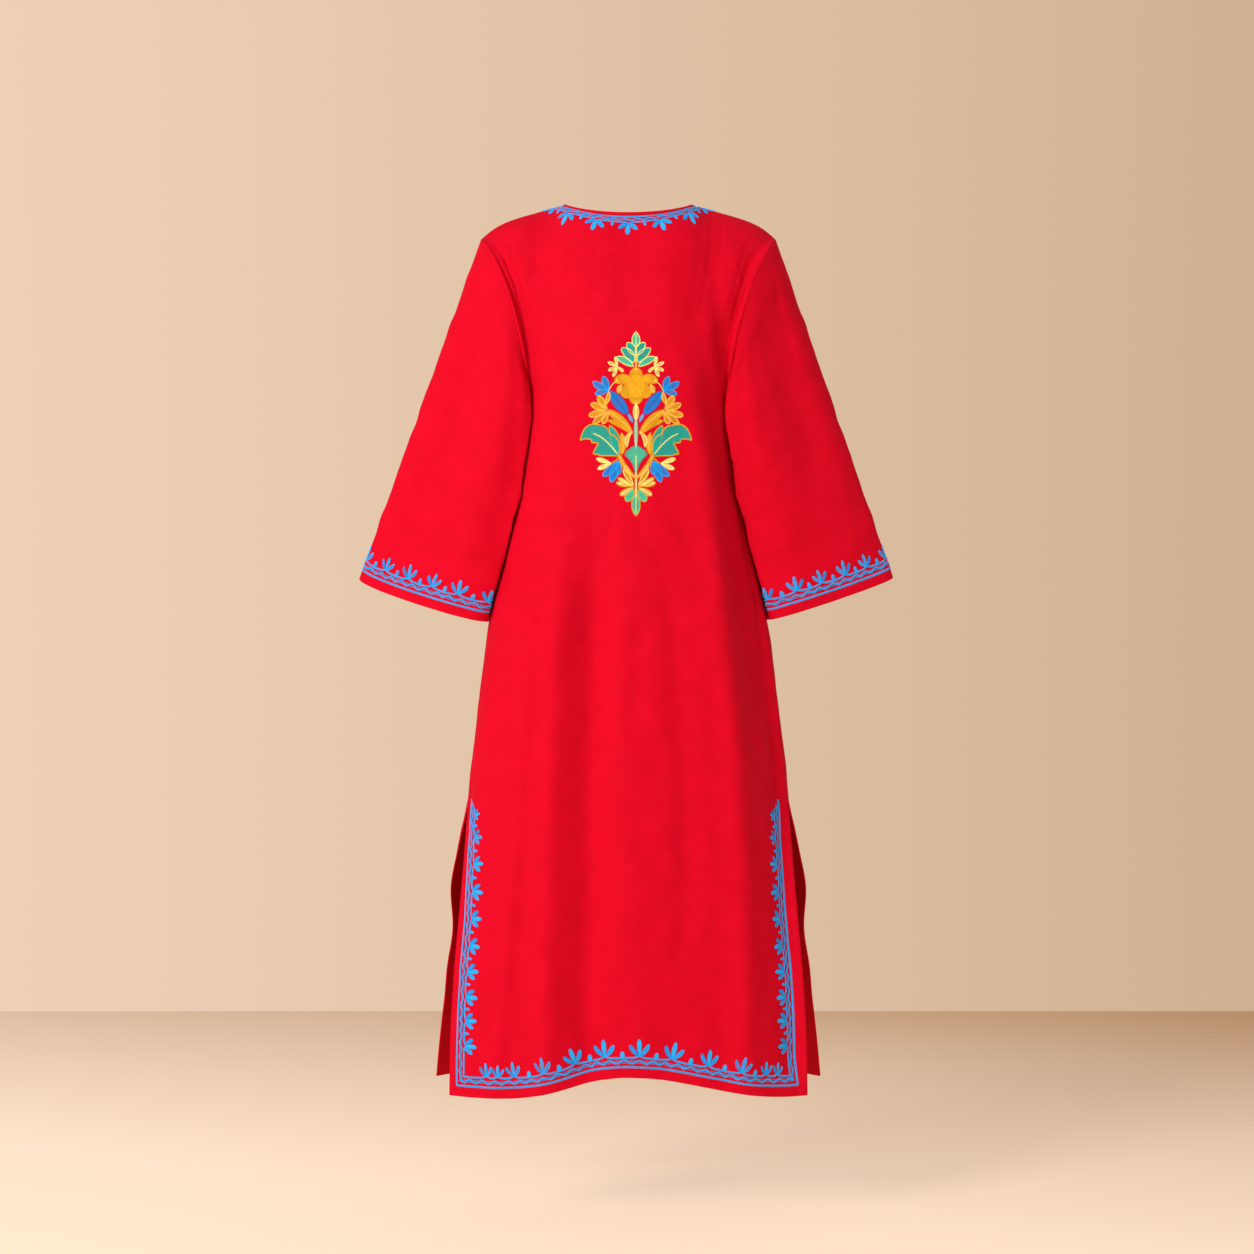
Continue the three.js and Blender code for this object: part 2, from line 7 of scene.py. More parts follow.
import bpy
import numpy as np
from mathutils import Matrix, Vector
from mathutils.bvhtree import BVHTree


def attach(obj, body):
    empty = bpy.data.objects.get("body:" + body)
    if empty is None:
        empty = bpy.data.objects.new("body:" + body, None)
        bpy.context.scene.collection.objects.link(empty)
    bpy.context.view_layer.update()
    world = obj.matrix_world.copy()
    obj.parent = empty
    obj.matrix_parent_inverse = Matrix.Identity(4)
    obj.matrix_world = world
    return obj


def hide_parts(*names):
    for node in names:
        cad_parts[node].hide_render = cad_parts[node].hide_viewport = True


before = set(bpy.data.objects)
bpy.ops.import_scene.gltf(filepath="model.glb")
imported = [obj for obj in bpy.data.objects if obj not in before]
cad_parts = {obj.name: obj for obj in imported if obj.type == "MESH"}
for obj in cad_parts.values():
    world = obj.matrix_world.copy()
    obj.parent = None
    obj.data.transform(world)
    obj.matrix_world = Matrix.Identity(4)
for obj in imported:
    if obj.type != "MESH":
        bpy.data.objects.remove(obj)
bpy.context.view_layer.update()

MM = 0.001


def table(names, *rows):
    """A short table as columns: their names, then a row of numbers for each section or fold."""
    return dict(zip(names.split(), np.array(rows, float).T))


# ---------------------------------------------------------------- sizes of the cut and the drape

CLOTH = 1.2  # the twill itself
TURNED = 1.9  # the twill where its edge is turned in
SEAM_GAP = 0.4
EXPONENT = 2.4  # squareness of the body's rings: 2 is an ellipse

NECK_HALF = 92
BINDING_WIDTH = 6
BINDING_THICKNESS = 2.6

TIP_X = 218  # where the shoulder seam meets the sleeve
SHOULDER_FALL = 33
SHOULDER_DROP = 19

UNDERARM = (150, 12, -275)
ARMHOLE_SCOOP = 58
ARMHOLE_BACK = 62
ARMHOLE_FRONT = 56
VALLEY = 1.3  # radians that body and sleeve turn towards each other under the arm
VALLEY_START = 0.7

LEVEL_Z = -330  # where the hanging rings begin
SLIT_Z = -880  # the top of the side slits

SECTIONS = table(
    "z half back front edge",
    (-275, 150, 103, 122, 12),
    (-330, 152, 104, 124, 14),
    (-430, 163, 103, 121, 18),
    (-520, 182, 110, 119, 21),
    (-600, 202, 119, 120, 24),
    (-740, 222, 126, 124, 28),
    (-880, 237, 130, 129, 30),
    (-1035, 248, 132, 134, 23),
    (-1185, 258, 134, 138, 16),
    (-1310, 260, 134, 141, 12),
)
# Below the slits each panel opens out flatter: its ring widens, and its edges swing away from the other's.
BACK_FLAP = table(
    "z widen swing",
    (-880, 0, 0),
    (-930, 6, 18),
    (-980, 11, 29),
    (-1035, 17, 39),
    (-1110, 25, 50),
    (-1185, 33, 60),
    (-1310, 43, 70),
)
FRONT_FLAP = table(
    "z widen swing",
    (-880, 0, 0),
    (-960, 11, 15),
    (-1010, 17, 27),
    (-1073, 12, 41),
    (-1133, 20, 52),
    (-1185, 26, 60),
    (-1310, 50, 76),
)

# A fold runs down a panel between two heights, past three distances from the middle. + depth is a ridge.
FOLD_COLUMNS = "start end top middle foot reach depth"
BACK_FOLDS = table(
    FOLD_COLUMNS,
    (-400, -1330, 42, 56, 56, 26, -18),
    (-380, -1330, 90, 112, 118, 21, 12),
    (-380, -1330, 125, 156, 196, 12, 5),
    (-190, -1330, -72, -148, -166, 22, 11),
    (-420, -1330, -140, -226, -246, 36, -14),
    (-140, -780, -95, -152, -192, 16, -5),
    (-440, -1120, -42, -77, -84, 20, -6),
    (-880, -1330, 5, -12, -20, 26, 4),
    (-50, -200, 122, 140, 152, 12, -5),
    (-60, -300, -118, -134, -144, 13, -6),
)
FRONT_FOLDS = table(
    FOLD_COLUMNS,
    (-330, -1330, 70, 122, 150, 30, 13),
    (-360, -1330, -62, -128, -166, 30, 15),
    (-480, -1330, 24, 38, 30, 24, -9),
    (-420, -1330, -20, -46, -60, 22, -7),
    (-560, -1330, 150, 190, 214, 24, -8),
    (-620, -1330, -164, -196, -222, 22, -7),
)
FOLD_GROWTH = 260  # how far a fold runs before it is full,
FOLD_FADE = 90  # and over what length it ends

# A crease is a short soft line between two points of a panel, x and z, with the same reach and depth.
CREASE_COLUMNS = "x0 z0 x1 z1 reach depth"
BACK_CREASES = table(
    CREASE_COLUMNS,
    (47, -60, 52, -185, 7, -1.0),
    (24, -66, 27, -190, 6, 0.9),
    (-17, -64, -20, -178, 7, -1.0),
    (-52, -72, -60, -170, 9, 0.8),
    (23, -420, 28, -530, 8, -1.1),
    (-17, -425, -14, -520, 8, -0.9),
    (-17, -600, -9, -800, 13, -2.2),
    (50, -1165, -4, -1105, 8, 1.5),
    (-84, -1052, -64, -1120, 8, -1.6),
    (210, -1058, 104, -1064, 6, -0.9),
    (78, -968, -76, -974, 6, -0.8),
    (40, -1210, -30, -1222, 7, -0.7),
    (192, -66, 160, -158, 10, 2.6),
    (178, -84, 146, -190, 9, -2.0),
    (-198, -100, -176, -170, 9, 2.4),
    (-180, -80, -150, -210, 10, -2.2),
    (112, -236, 150, -300, 12, -2.0),
    (-108, -240, -146, -306, 12, -2.0),
    (70, -560, 118, -700, 14, 1.8),
    (-120, -560, -106, -760, 16, 1.6),
    (176, -640, 205, -860, 13, -2.0),
    (-196, -700, -214, -900, 12, 1.6),
    (150, -1180, 158, -1330, 18, 2.2),
    (40, -1150, 36, -1330, 20, 2.0),
    (-128, -1120, -140, -1330, 20, -2.4),
    (-60, -1200, -52, -1330, 16, -1.8),
)
FRONT_CREASES = table(
    CREASE_COLUMNS,
    (60, -150, 74, -300, 12, -1.6),
    (-64, -156, -82, -310, 12, -1.4),
    (10, -180, 6, -330, 10, 0.9),
    (110, -220, 150, -296, 13, -2.2),
    (-112, -214, -150, -300, 13, -2.0),
    (180, -80, 150, -190, 10, 2.0),
    (-176, -84, -150, -200, 10, 2.2),
    (86, -560, 96, -800, 15, -2.2),
    (-90, -600, -104, -840, 15, -2.0),
    (0, -500, -4, -720, 13, 1.6),
    (200, -760, 216, -960, 12, 1.8),
    (-200, -740, -214, -930, 12, 1.8),
    (60, -1000, -40, -1012, 6, -0.8),
    (205, -1092, 100, -1080, 6, -0.8),
    (-120, -1130, -30, -1100, 8, 1.4),
    (76, -1130, 84, -1330, 18, -2.2),
    (-96, -1150, -90, -1330, 18, 2.4),
    (240, -1150, 262, -1330, 14, 2.6),
    (-244, -1120, -266, -1330, 14, 2.4),
    (214, -1010, 226, -1200, 9, -2.2),
    (-216, -1000, -230, -1190, 9, -2.2),
)

# The hem: the height of its corners, its rise to the middle, and how long it stays low left and right.
BACK_HEM = (-1303, 34, 5, 2.6)
FRONT_HEM = (-1299, 32, 3, 3)
YOKE_SOFTNESS = 0.08  # the share over which neighbouring points of the yoke are evened out
NECK_SHARE = 0.42  # shares of a half width where the top edge turns from neck to shoulder to armhole
SHOULDER_SHARE = 0.78

# How the cloth leaves its top edge at a share of the half width: which way, and how long it keeps to it.
LEAVING_COLUMNS = "share x y z pull"
BACK_LEAVING = table(
    LEAVING_COLUMNS,
    (0, 0, 0.36, -0.93, 190),
    (0.2, 0.25, 0.72, -0.64, 225),
    (0.42, 0.6, 0.72, -0.36, 270),
    (0.6, 0.12, 0.92, -0.28, 280),
    (0.78, -0.48, 0.86, -0.14, 250),
    (0.84, -0.6, 0.58, -0.5, 210),
    (0.9, -0.5, 0.2, -0.84, 150),
    (1, 0, 0, -1, 55),
)
FRONT_LEAVING = table(
    LEAVING_COLUMNS,
    (0, 0, -0.4, -0.92, 190),
    (0.2, 0.25, -0.55, -0.75, 225),
    (0.42, 0.6, -0.7, -0.38, 270),
    (0.6, 0.12, -0.92, -0.3, 275),
    (0.78, -0.48, -0.84, -0.16, 250),
    (0.84, -0.6, -0.56, -0.52, 210),
    (0.9, -0.5, -0.2, -0.84, 150),
    (1, 0, 0, -1, 55),
)
# A panel's side is the sign of its y. Its neck has a depth, a drop, and the power that eases the drop.
BACK = dict(
    name="back_panel", side=1, folds=BACK_FOLDS, creases=BACK_CREASES, hem=BACK_HEM,
    leaving=BACK_LEAVING, neck=(60, -20, 1.3), flap=BACK_FLAP,
)
FRONT = dict(
    name="front_panel", side=-1, folds=FRONT_FOLDS, creases=FRONT_CREASES, hem=FRONT_HEM,
    leaving=FRONT_LEAVING, neck=(-86, -108, 1.4), flap=FRONT_FLAP,
)

# A cuff's outer corner as x and z, its inner corner's height, its sag between them, and the y of its middle.
LEFT_SLEEVE = dict(name="left_sleeve", side=1, cuff_out=(399, -553), cuff_in_z=-611, sag=11, spine=-10)
RIGHT_SLEEVE = dict(name="right_sleeve", side=-1, cuff_out=(393, -551), cuff_in_z=-612, sag=5, spine=-13)
SLEEVE_CLEAR = 6
SLEEVE_PRESS = 26  # how far the sleeve's inner side would hang into the body,
SLEEVE_TOUCH = 5  # if the body didn't keep it this far off
CUFF_BACK = 46
CUFF_FRONT = 44
CUFF_TAPER = 0.5
CUFF_TURNING = 82  # how deep the cuff's edge is turned in
SLEEVE_FOLDS = table(
    "start end turn reach depth",
    (0.02, 0.72, 62, 16, -7),
    (0.1, 1.2, 96, 20, 5),
    (0.12, 0.9, 116, 15, -6),
    (0.05, 0.8, 292, 17, -6),
    (0.2, 1.2, 232, 18, -5),
)
# Creases of a sleeve between two places: shares of its length, and turns in degrees.
SLEEVE_CREASES = table(
    "s0 turn0 s1 turn1 reach depth",
    (0.02, 88, 0.5, 104, 8, 1.8),
    (0.04, 44, 0.34, 50, 8, -1.8),
    (0.06, 112, 0.36, 118, 7, 1.6),
    (0.3, 152, 0.46, 100, 9, -2.2),
    (0.42, 156, 0.52, 118, 8, 1.6),
    (0.55, 150, 0.66, 96, 9, -1.6),
    (0.6, 40, 0.9, 52, 10, 1.6),
    (0.66, 84, 1.05, 80, 14, -2.0),
    (0.7, 120, 1.05, 118, 12, 1.8),
    (0.08, 262, 0.5, 268, 9, 1.8),
    (0.3, 206, 0.42, 262, 9, -2.2),
    (0.52, 208, 0.6, 258, 9, -1.8),
    (0.62, 312, 0.92, 306, 10, 1.6),
    (0.7, 268, 1.05, 272, 13, -2.0),
)

# How the cloth is never quite flat: broad low waves, by wave lengths along and across and their heights.
RIPPLES = table(
    "along across height shift",
    (96, 210, 0.50, 0.4),
    (61, -150, 0.35, 2.1),
    (43, 74, 0.20, 4.0),
    (-34, 52, 0.14, 1.2),
    (23, -31, 0.08, 5.1),
)

# ---------------------------------------------------------------- shape of the cloth


def lerp(a, b, t):
    return a + (b - a) * t


def smooth(t):
    t = np.clip(t, 0, 1)
    return t * t * (3 - 2 * t)


def vec(x, y, z):
    return np.stack(np.broadcast_arrays(x, y, z), -1).astype(float)


def unit(v):
    return v / np.maximum(np.linalg.norm(v, axis=-1, keepdims=True), 1e-9)


def mirror_by(value):
    """Factors for x, y and z that mirror a point to the other side where a value is negative."""
    return np.where(value < 0, -1, 1)[..., None] ** np.array([1, 0, 0])


def distances(line):
    """How far each point of a line lies along it, or each row of a grid down its columns."""
    steps = np.linalg.norm(np.diff(line, axis=0), axis=-1)
    return np.concatenate([0 * steps[:1], np.cumsum(steps, 0)])


def to_left(line):
    """The direction to the left of a flat line, at each of its points."""
    return unit(np.gradient(line, axis=0)) @ np.array([[0, 1], [-1, 0]])


def hermite(a, b, leave, land, t):
    """The cubic from a to b that leaves and lands in the given directions."""
    t2, t3 = t**2, t**3
    return (2 * t3 - 3 * t2 + 1) * a + (3 * t2 - 2 * t3) * b + (t3 - 2 * t2 + t) * leave + (t3 - t2) * land


def follow(rows, key, at, name):
    """One column of a table on a smooth curve through the rows; the ends hold their value."""
    keys, values = rows[key], rows[name]
    if keys[0] > keys[-1]:
        keys, values = keys[::-1], values[::-1]
    last = len(keys) - 1
    before, after = np.maximum(np.arange(last + 1) - 1, 0), np.minimum(np.arange(last + 1) + 1, last)
    slopes = (values[after] - values[before]) / (keys[after] - keys[before])
    at = np.clip(at, keys[0], keys[-1])
    k = np.clip(np.searchsorted(keys, at, side="right") - 1, 0, last - 1)
    span = keys[k + 1] - keys[k]
    return hermite(values[k], values[k + 1], span * slopes[k], span * slopes[k + 1], (at - keys[k]) / span)


def ring_facts(panel, z):
    """A panel's ring at a height: half its width, its depths, and how far back its edge lies."""
    half, back, front, edge = (follow(SECTIONS, "z", z, n) for n in ("half", "back", "front", "edge"))
    widen, swing = (follow(panel["flap"], "z", z, n) for n in ("widen", "swing"))
    return half + widen, back, front, edge + panel["side"] * swing


def ring_point(angle, half, back, front):
    """The point of a ring in a direction, as x and y."""
    c, s = np.cos(angle), np.sin(angle)
    depth = np.where(s > 0, back, front)
    size = (np.abs(c / half) ** EXPONENT + np.abs(s / depth) ** EXPONENT) ** (-1 / EXPONENT)
    return c * size, s * size


# The grid on which the hanging rings are measured, once for each panel.
RING_HEIGHTS = np.linspace(-270, -1330, 107)
RING_SHARES = np.linspace(0, 1, 201)


def ring_table(panel):
    """For each height, the directions at even steps along the half ring, and the half ring's length."""
    angles, lengths = [], []
    for z in RING_HEIGHTS:
        half, back, front, edge = ring_facts(panel, z)
        depth = back if edge > 0 else front
        edge_x = half * (1 - (abs(edge) / depth) ** EXPONENT) ** (1 / EXPONENT)
        sweep = np.linspace(panel["side"] * math.pi / 2, math.atan2(edge, edge_x), 400)
        x, y = ring_point(sweep, half, back, front)
        along = distances(np.stack([x, y], 1))
        angles.append(np.interp(RING_SHARES * (along[-1] - SEAM_GAP / 2), along, sweep))
        lengths.append(along[-1] - SEAM_GAP / 2)
    return np.array(angles), np.array(lengths)


for panel in (BACK, FRONT):
    panel["angles"], panel["lengths"] = ring_table(panel)


def bilinear(grid, row, column):
    """Values between the points of an even grid, at fractions of its rows and columns."""
    row, column = np.clip(row, 0, grid.shape[0] - 1.001), np.clip(column, 0, grid.shape[1] - 1.001)
    i, j = row.astype(int), column.astype(int)
    u, v = row - i, column - j
    top = grid[i, j] * (1 - v) + grid[i, j + 1] * v
    foot = grid[i + 1, j] * (1 - v) + grid[i + 1, j + 1] * v
    return top * (1 - u) + foot * u


def half_ring(panel, z):
    """The length of cloth from the middle of a panel to its side at a height."""
    return np.interp(-z, -RING_HEIGHTS, panel["lengths"])


def skirt_point(panel, share, z):
    """A point of the hanging cloth, before its folds, at a signed share of the half width and a height."""
    share, z = np.broadcast_arrays(np.asarray(share, float), np.asarray(z, float))
    row = (RING_HEIGHTS[0] - z) / (RING_HEIGHTS[0] - RING_HEIGHTS[1])
    angle = bilinear(panel["angles"], row, np.abs(share) * (len(RING_SHARES) - 1))
    half, back, front, _ = ring_facts(panel, z)
    x, y = ring_point(angle, half, back, front)
    return vec(np.where(share < 0, -x, x), y, z)


def shoulder_height(x):
    """The height of the shoulder seam at a distance from the middle."""
    t = (x - NECK_HALF) / (TIP_X - NECK_HALF)
    return -SHOULDER_FALL * t - SHOULDER_DROP * t**6


def shoulder_slope(x):
    return (shoulder_height(x + 1) - shoulder_height(x - 1)) / 2


def neck_frame(panel, turn):
    """The neckline from a panel's middle, at turn 0, to the shoulder seam, at 90 degrees: its point, the
    wall's direction there, and the direction over the cloth away from the neck."""
    depth, drop, fall = panel["neck"]

    def at(angle):
        c = np.cos(angle)
        return vec(NECK_HALF * np.sin(angle), depth * c, drop * np.maximum(c, 0) ** fall)

    leave_y, leave_z = panel["leaving"]["y"][0], panel["leaving"]["z"][0]
    seam = unit(vec(-shoulder_slope(NECK_HALF), 0, 1))
    middle = vec(0, -leave_z * panel["side"], leave_y * panel["side"])
    normal = unit(lerp(middle, seam, np.sin(turn)[..., None] ** 2))
    inner = np.minimum(turn, math.pi / 2 - 0.02)
    tangent = unit(at(inner + 0.02) - at(inner - 0.02))
    away = np.cross(normal, tangent) * panel["side"]
    at_seam = (turn > math.pi / 2 - 0.001)[..., None]
    away = unit(np.where(at_seam, vec(1, 0, shoulder_slope(NECK_HALF)), away))
    return at(turn), normal, away


def neck_round(turns, side):
    """The neckline all round, from the middle of the back over the shoulder on the given side, as the facts
    of neck_frame in three rows."""
    quarters = []
    for panel, half, is_reversed in (
        (BACK, side, False), (FRONT, side, True), (FRONT, -side, False), (BACK, -side, True),
    ):
        quarter = np.array(neck_frame(panel, turns)) * np.array([half, 1, 1])
        quarters.append((quarter[:, ::-1] if is_reversed else quarter)[:, :-1])
    return np.concatenate(quarters, axis=1)


def armhole_point(turn):
    q = (1 - np.cos(turn)) / 2
    out = np.sin(turn) * np.where(turn > 0, ARMHOLE_BACK, ARMHOLE_FRONT)
    x = lerp(TIP_X, UNDERARM[0], q) - ARMHOLE_SCOOP * q * (1 - q)
    return vec(x, UNDERARM[1] * q + out, lerp(shoulder_height(TIP_X), UNDERARM[2], q))


def armhole_seam(turn):
    """The armhole seam: the direction across it from body to sleeve, and the way out of each one's wall."""
    tip = vec(0.82, 0, 0.57) * ((1 + np.cos(turn)) / 2)[..., None]
    under = vec(0, 0, -1) * ((1 - np.cos(turn)) / 2)[..., None]
    normal = unit(tip + under + vec(0, 1.2 * np.sin(turn), 0))
    tangent = unit(armhole_point(turn + 0.01) - armhole_point(turn - 0.01))
    across = unit(np.cross(tangent, normal))
    lean = (VALLEY * smooth((np.abs(turn) - VALLEY_START) / (math.pi - VALLEY_START)))[..., None]
    straight, leant = normal * np.cos(lean), across * np.sin(lean)
    return across, straight + leant, straight - leant


def top_edge(panel, share):
    """The top edge of a panel at a share of its half width, from 0 to 1, and the way out of its wall."""
    neck_turn = np.clip(share / NECK_SHARE, 0, 1) * math.pi / 2
    point, neck_out, away = neck_frame(panel, neck_turn)
    neck = point + away * (BINDING_WIDTH + SEAM_GAP)
    start = NECK_HALF + BINDING_WIDTH + SEAM_GAP
    x = lerp(start, TIP_X, (share - NECK_SHARE) / (SHOULDER_SHARE - NECK_SHARE))
    shoulder = vec(x, panel["side"] * SEAM_GAP / 2, shoulder_height(x))
    margin = SEAM_GAP / 2 / ARMHOLE_BACK
    q = (share - SHOULDER_SHARE) / (1 - SHOULDER_SHARE)
    turn = panel["side"] * np.clip(q * math.pi, margin, math.pi - margin)
    across, armhole_out, _ = armhole_seam(turn)
    armhole = armhole_point(turn) - across * SEAM_GAP / 2
    is_neck, is_shoulder = (share < NECK_SHARE)[..., None], (share < SHOULDER_SHARE)[..., None]
    shoulder_out = unit(vec(-shoulder_slope(x), 0, 1))
    return (
        np.where(is_neck, neck, np.where(is_shoulder, shoulder, armhole)),
        np.where(is_neck, neck_out, np.where(is_shoulder, shoulder_out, armhole_out)),
    )


def yoke_point(panel, share, down):
    """A point between a panel's top edge, where down is 0, and its level line, where it is 1."""
    top, foot = top_edge(panel, share)[0], skirt_point(panel, share, LEVEL_Z)
    landing = (skirt_point(panel, share, LEVEL_Z - 5) - foot) * ((top[..., 2:] - LEVEL_Z) / 5)
    x, y, z, pull = (follow(panel["leaving"], "share", share, n) for n in ("x", "y", "z", "pull"))
    leaving = unit(vec(x, y, z)) * pull[..., None]
    return hermite(top, foot, leaving, landing, down[..., None])


def soft_yoke_point(panel, share, down):
    """The mean of neighbouring yoke points, so that no crease runs down from the corner of the neck."""
    spread = YOKE_SOFTNESS * smooth(down * 4) * smooth((1 - down) * 3) * np.minimum(1, (1 - share) * 4)
    total = 0
    for k, weight in zip(range(-2, 3), (1, 4, 6, 4, 1)):
        near = share + k * spread
        point = yoke_point(panel, np.abs(near), down)
        total = total + weight / 16 * point * mirror_by(near)
    return total


def hem_height(panel, share):
    """The height of a panel's hem at a signed share of its half width."""
    corner, rise, left_fall, right_fall = panel["hem"]
    return corner + rise * np.cos(share * math.pi / 2) ** np.where(share > 0, left_fall, right_fall)


def fold_depth(folds, x, z):
    """How far a table of folds moves the cloth out."""
    total = 0
    for start, end, top, middle, foot, reach, depth in zip(*folds.values()):
        t = np.clip((z - start) / (end - start), 0, 1)
        path = (1 - t) * (1 - 2 * t) * top + 4 * t * (1 - t) * middle + t * (2 * t - 1) * foot
        grown = smooth((start - z) / min(FOLD_GROWTH, (start - end) / 2))
        fading = smooth((z - end) / FOLD_FADE)
        total = total + depth * grown * fading * np.exp(-(((x - path) / reach) ** 2))
    return total


def crease_depth(creases, x, z):
    """How far a table of short creases moves the cloth out: each fades towards both its ends."""
    total = 0
    for x0, z0, x1, z1, reach, depth in zip(*creases.values()):
        length = math.hypot(x1 - x0, z1 - z0)
        along = ((x - x0) * (x1 - x0) + (z - z0) * (z1 - z0)) / length
        across = ((x - x0) * (z1 - z0) - (z - z0) * (x1 - x0)) / length
        fade = smooth(along / (0.35 * length) + 0.2) * smooth((length - along) / (0.35 * length) + 0.2)
        total = total + depth * fade * np.exp(-((across / reach) ** 2))
    return total


def ripple(u, v):
    """How far the low waves move the cloth out at a place on its cut."""
    total = 0
    for along, across, height, shift in zip(*RIPPLES.values()):
        total = total + height * np.sin(2 * math.pi * (u / along + v / across) + shift)
    return total


def grid_normals(rows, is_tube):
    """The outward normals of a grid of points, worked out from its neighbours."""
    if is_tube:
        wide = np.concatenate([rows[:, -1:], rows, rows[:, :1]], 1)
        across = wide[:, 2:] - wide[:, :-2]
    else:
        across = np.gradient(rows, axis=1)
    return unit(np.cross(across, np.gradient(rows, axis=0)))


# ---------------------------------------------------------------- meshes


def new_mesh(name, points, faces):
    """An object at the origin with the given points, in millimetres, and smooth faces."""
    mesh = bpy.data.meshes.new(name)
    mesh.from_pydata((np.asarray(points) * MM).tolist(), [], faces)
    mesh.update()
    mesh.shade_smooth()
    piece = bpy.data.objects.new(name, mesh)
    bpy.context.collection.objects.link(piece)
    return piece


def set_uv(mesh, coordinates):
    """Gives each corner of the mesh its place on the flat cut, in metres."""
    layer = mesh.uv_layers.new(name="cut")
    layer.data.foreach_set("uv", (np.asarray(coordinates) * MM).astype(np.float32).ravel())


EDGE_BULGE = 0.45  # how far an edge is rounded out, in thicknesses of the cloth


def rim_out(outer, rows, columns):
    """The direction out over the edge for each point of a grid's boundary."""
    from_row = np.where(rows == 0, 1, np.where(rows == outer.shape[0] - 1, -1, 0))
    from_column = np.where(columns == 0, 1, np.where(columns == outer.shape[1] - 1, -1, 0))
    return unit(outer[rows, columns] - outer[rows + from_row, columns + from_column])


def grid_quads(height, width, is_tube):
    """The numbers of a grid's points, and its faces. A tube's last column meets its first."""
    index = np.arange(height * width).reshape(height, width)
    step = np.concatenate([index, index[:, :1]], 1) if is_tube else index
    corners = step[:-1, :-1], step[1:, :-1], step[1:, 1:], step[:-1, 1:]
    return index, np.stack(corners, -1).reshape(-1, 4)


def edge_loops(height, width, is_tube):
    """The loops round a grid's open edges, each as the rows and the columns of its points."""
    down, along = np.arange(height), np.arange(width)
    first_row, last_row = np.full(width, 0), np.full(width, height - 1)
    if is_tube:
        return [(first_row, along), (last_row, along[::-1])]
    first_column, last_column = np.full(height - 1, 0), np.full(height - 1, width - 1)
    rows = np.concatenate([down[:-1], last_row[1:], down[:0:-1], first_row[1:]])
    columns = np.concatenate([first_column, along[:-1], last_column, along[:0:-1]])
    return [(rows[::-1], columns[::-1])]


def cloth_wall(name, outer, normals, thickness, cut, is_tube):
    """A closed wall of cloth: its right side, its wrong side as a second material, and rounded edges."""
    height, width = outer.shape[:2]
    inner = outer - normals * thickness[..., None]
    index, right_side = grid_quads(height, width, is_tube)
    wrong_side = right_side[:, [0, 3, 2, 1]] + height * width
    points, faces, rim_cut = [outer.reshape(-1, 3), inner.reshape(-1, 3)], [], []
    count = 2 * height * width
    for rows, columns in edge_loops(height, width, is_tube):
        out = rim_out(outer, rows, columns) * (EDGE_BULGE * thickness[rows, columns])[:, None]
        middle = (outer[rows, columns] + inner[rows, columns]) / 2 + out
        edge, rim = index[rows, columns], count + np.arange(len(rows))
        points.append(middle)
        rim_cut.append(cut[rows, columns])
        for one, other in ((edge, rim), (rim, edge + height * width)):
            faces.append(np.stack([one, np.roll(one, -1), np.roll(other, -1), other], 1))
        count += len(rows)
    all_faces = np.concatenate([right_side, wrong_side, *faces])
    points = np.concatenate(points)
    piece = new_mesh(name, points, all_faces.tolist())
    material = np.zeros(len(all_faces), int)
    material[len(right_side) : 2 * len(right_side)] = 1
    piece.data.polygons.foreach_set("material_index", material)
    place = np.concatenate([cut[:, :width].reshape(-1, 2)] * 2 + rim_cut)[all_faces]
    if is_tube:  # the faces that close the tube reach past the cut's far side
        around = cut[0, width, 0] - cut[0, 0, 0]
        spread = place[..., 0].max(1, keepdims=True) - place[..., 0]
        place[..., 0] += np.where(spread > around / 2, around, 0)
    set_uv(piece.data, place.reshape(-1, 2))
    if signed_volume(points, all_faces) < 0:
        piece.data.flip_normals()
    return piece


def signed_volume(points, quads):
    """Six times the volume inside closed quads: negative if they face inwards."""
    a, b, c, d = (points[quads[:, k]] for k in range(4))
    return np.einsum("ij,ij->", a, np.cross(b, c)) + np.einsum("ij,ij->", a, np.cross(c, d))


def in_order(*runs):
    """The values of several runs as one run in order, each value once."""
    return np.unique(np.concatenate(runs))


ROW_STEP = 6  # the cloth's mesh, along and across
COLUMN_STEP = 5
PANEL_HALF = 330  # about half a panel's width along its hem
ARMHOLE_COLUMNS = 28
# Extra rows of the mesh, by their distance from an edge, and others where a turning ends.
EDGE_STEPS = np.array([1.0, 2.4, 4.4])
SLIT_STEPS = np.concatenate([EDGE_STEPS, [8.4, 9.6]])
HEM_STEPS = np.concatenate([EDGE_STEPS, [14.0, 15.0, 17.4, 18.4]])
CUFF_STEPS = np.concatenate([EDGE_STEPS, [CUFF_TURNING - 0.8, CUFF_TURNING + 0.8]])
SEAM_DIP = 0.8  # how far stitching pulls a seam in
SEAM_REACH = 4
SLIT_TURNING = 9
HEM_TURNING = 16


def panel_shares():
    """Shares of a panel's half width for its columns, from -1 to 1."""
    neck = np.linspace(0, NECK_SHARE, round(NECK_SHARE * PANEL_HALF / COLUMN_STEP))
    shoulder_count = round((SHOULDER_SHARE - NECK_SHARE) * PANEL_HALF / COLUMN_STEP)
    shoulder = np.linspace(NECK_SHARE, SHOULDER_SHARE, shoulder_count)
    armhole = np.linspace(SHOULDER_SHARE, 1, ARMHOLE_COLUMNS)
    positive = in_order(neck, shoulder, armhole, 1 - SLIT_STEPS / PANEL_HALF)
    return np.concatenate([-positive[:0:-1], positive])


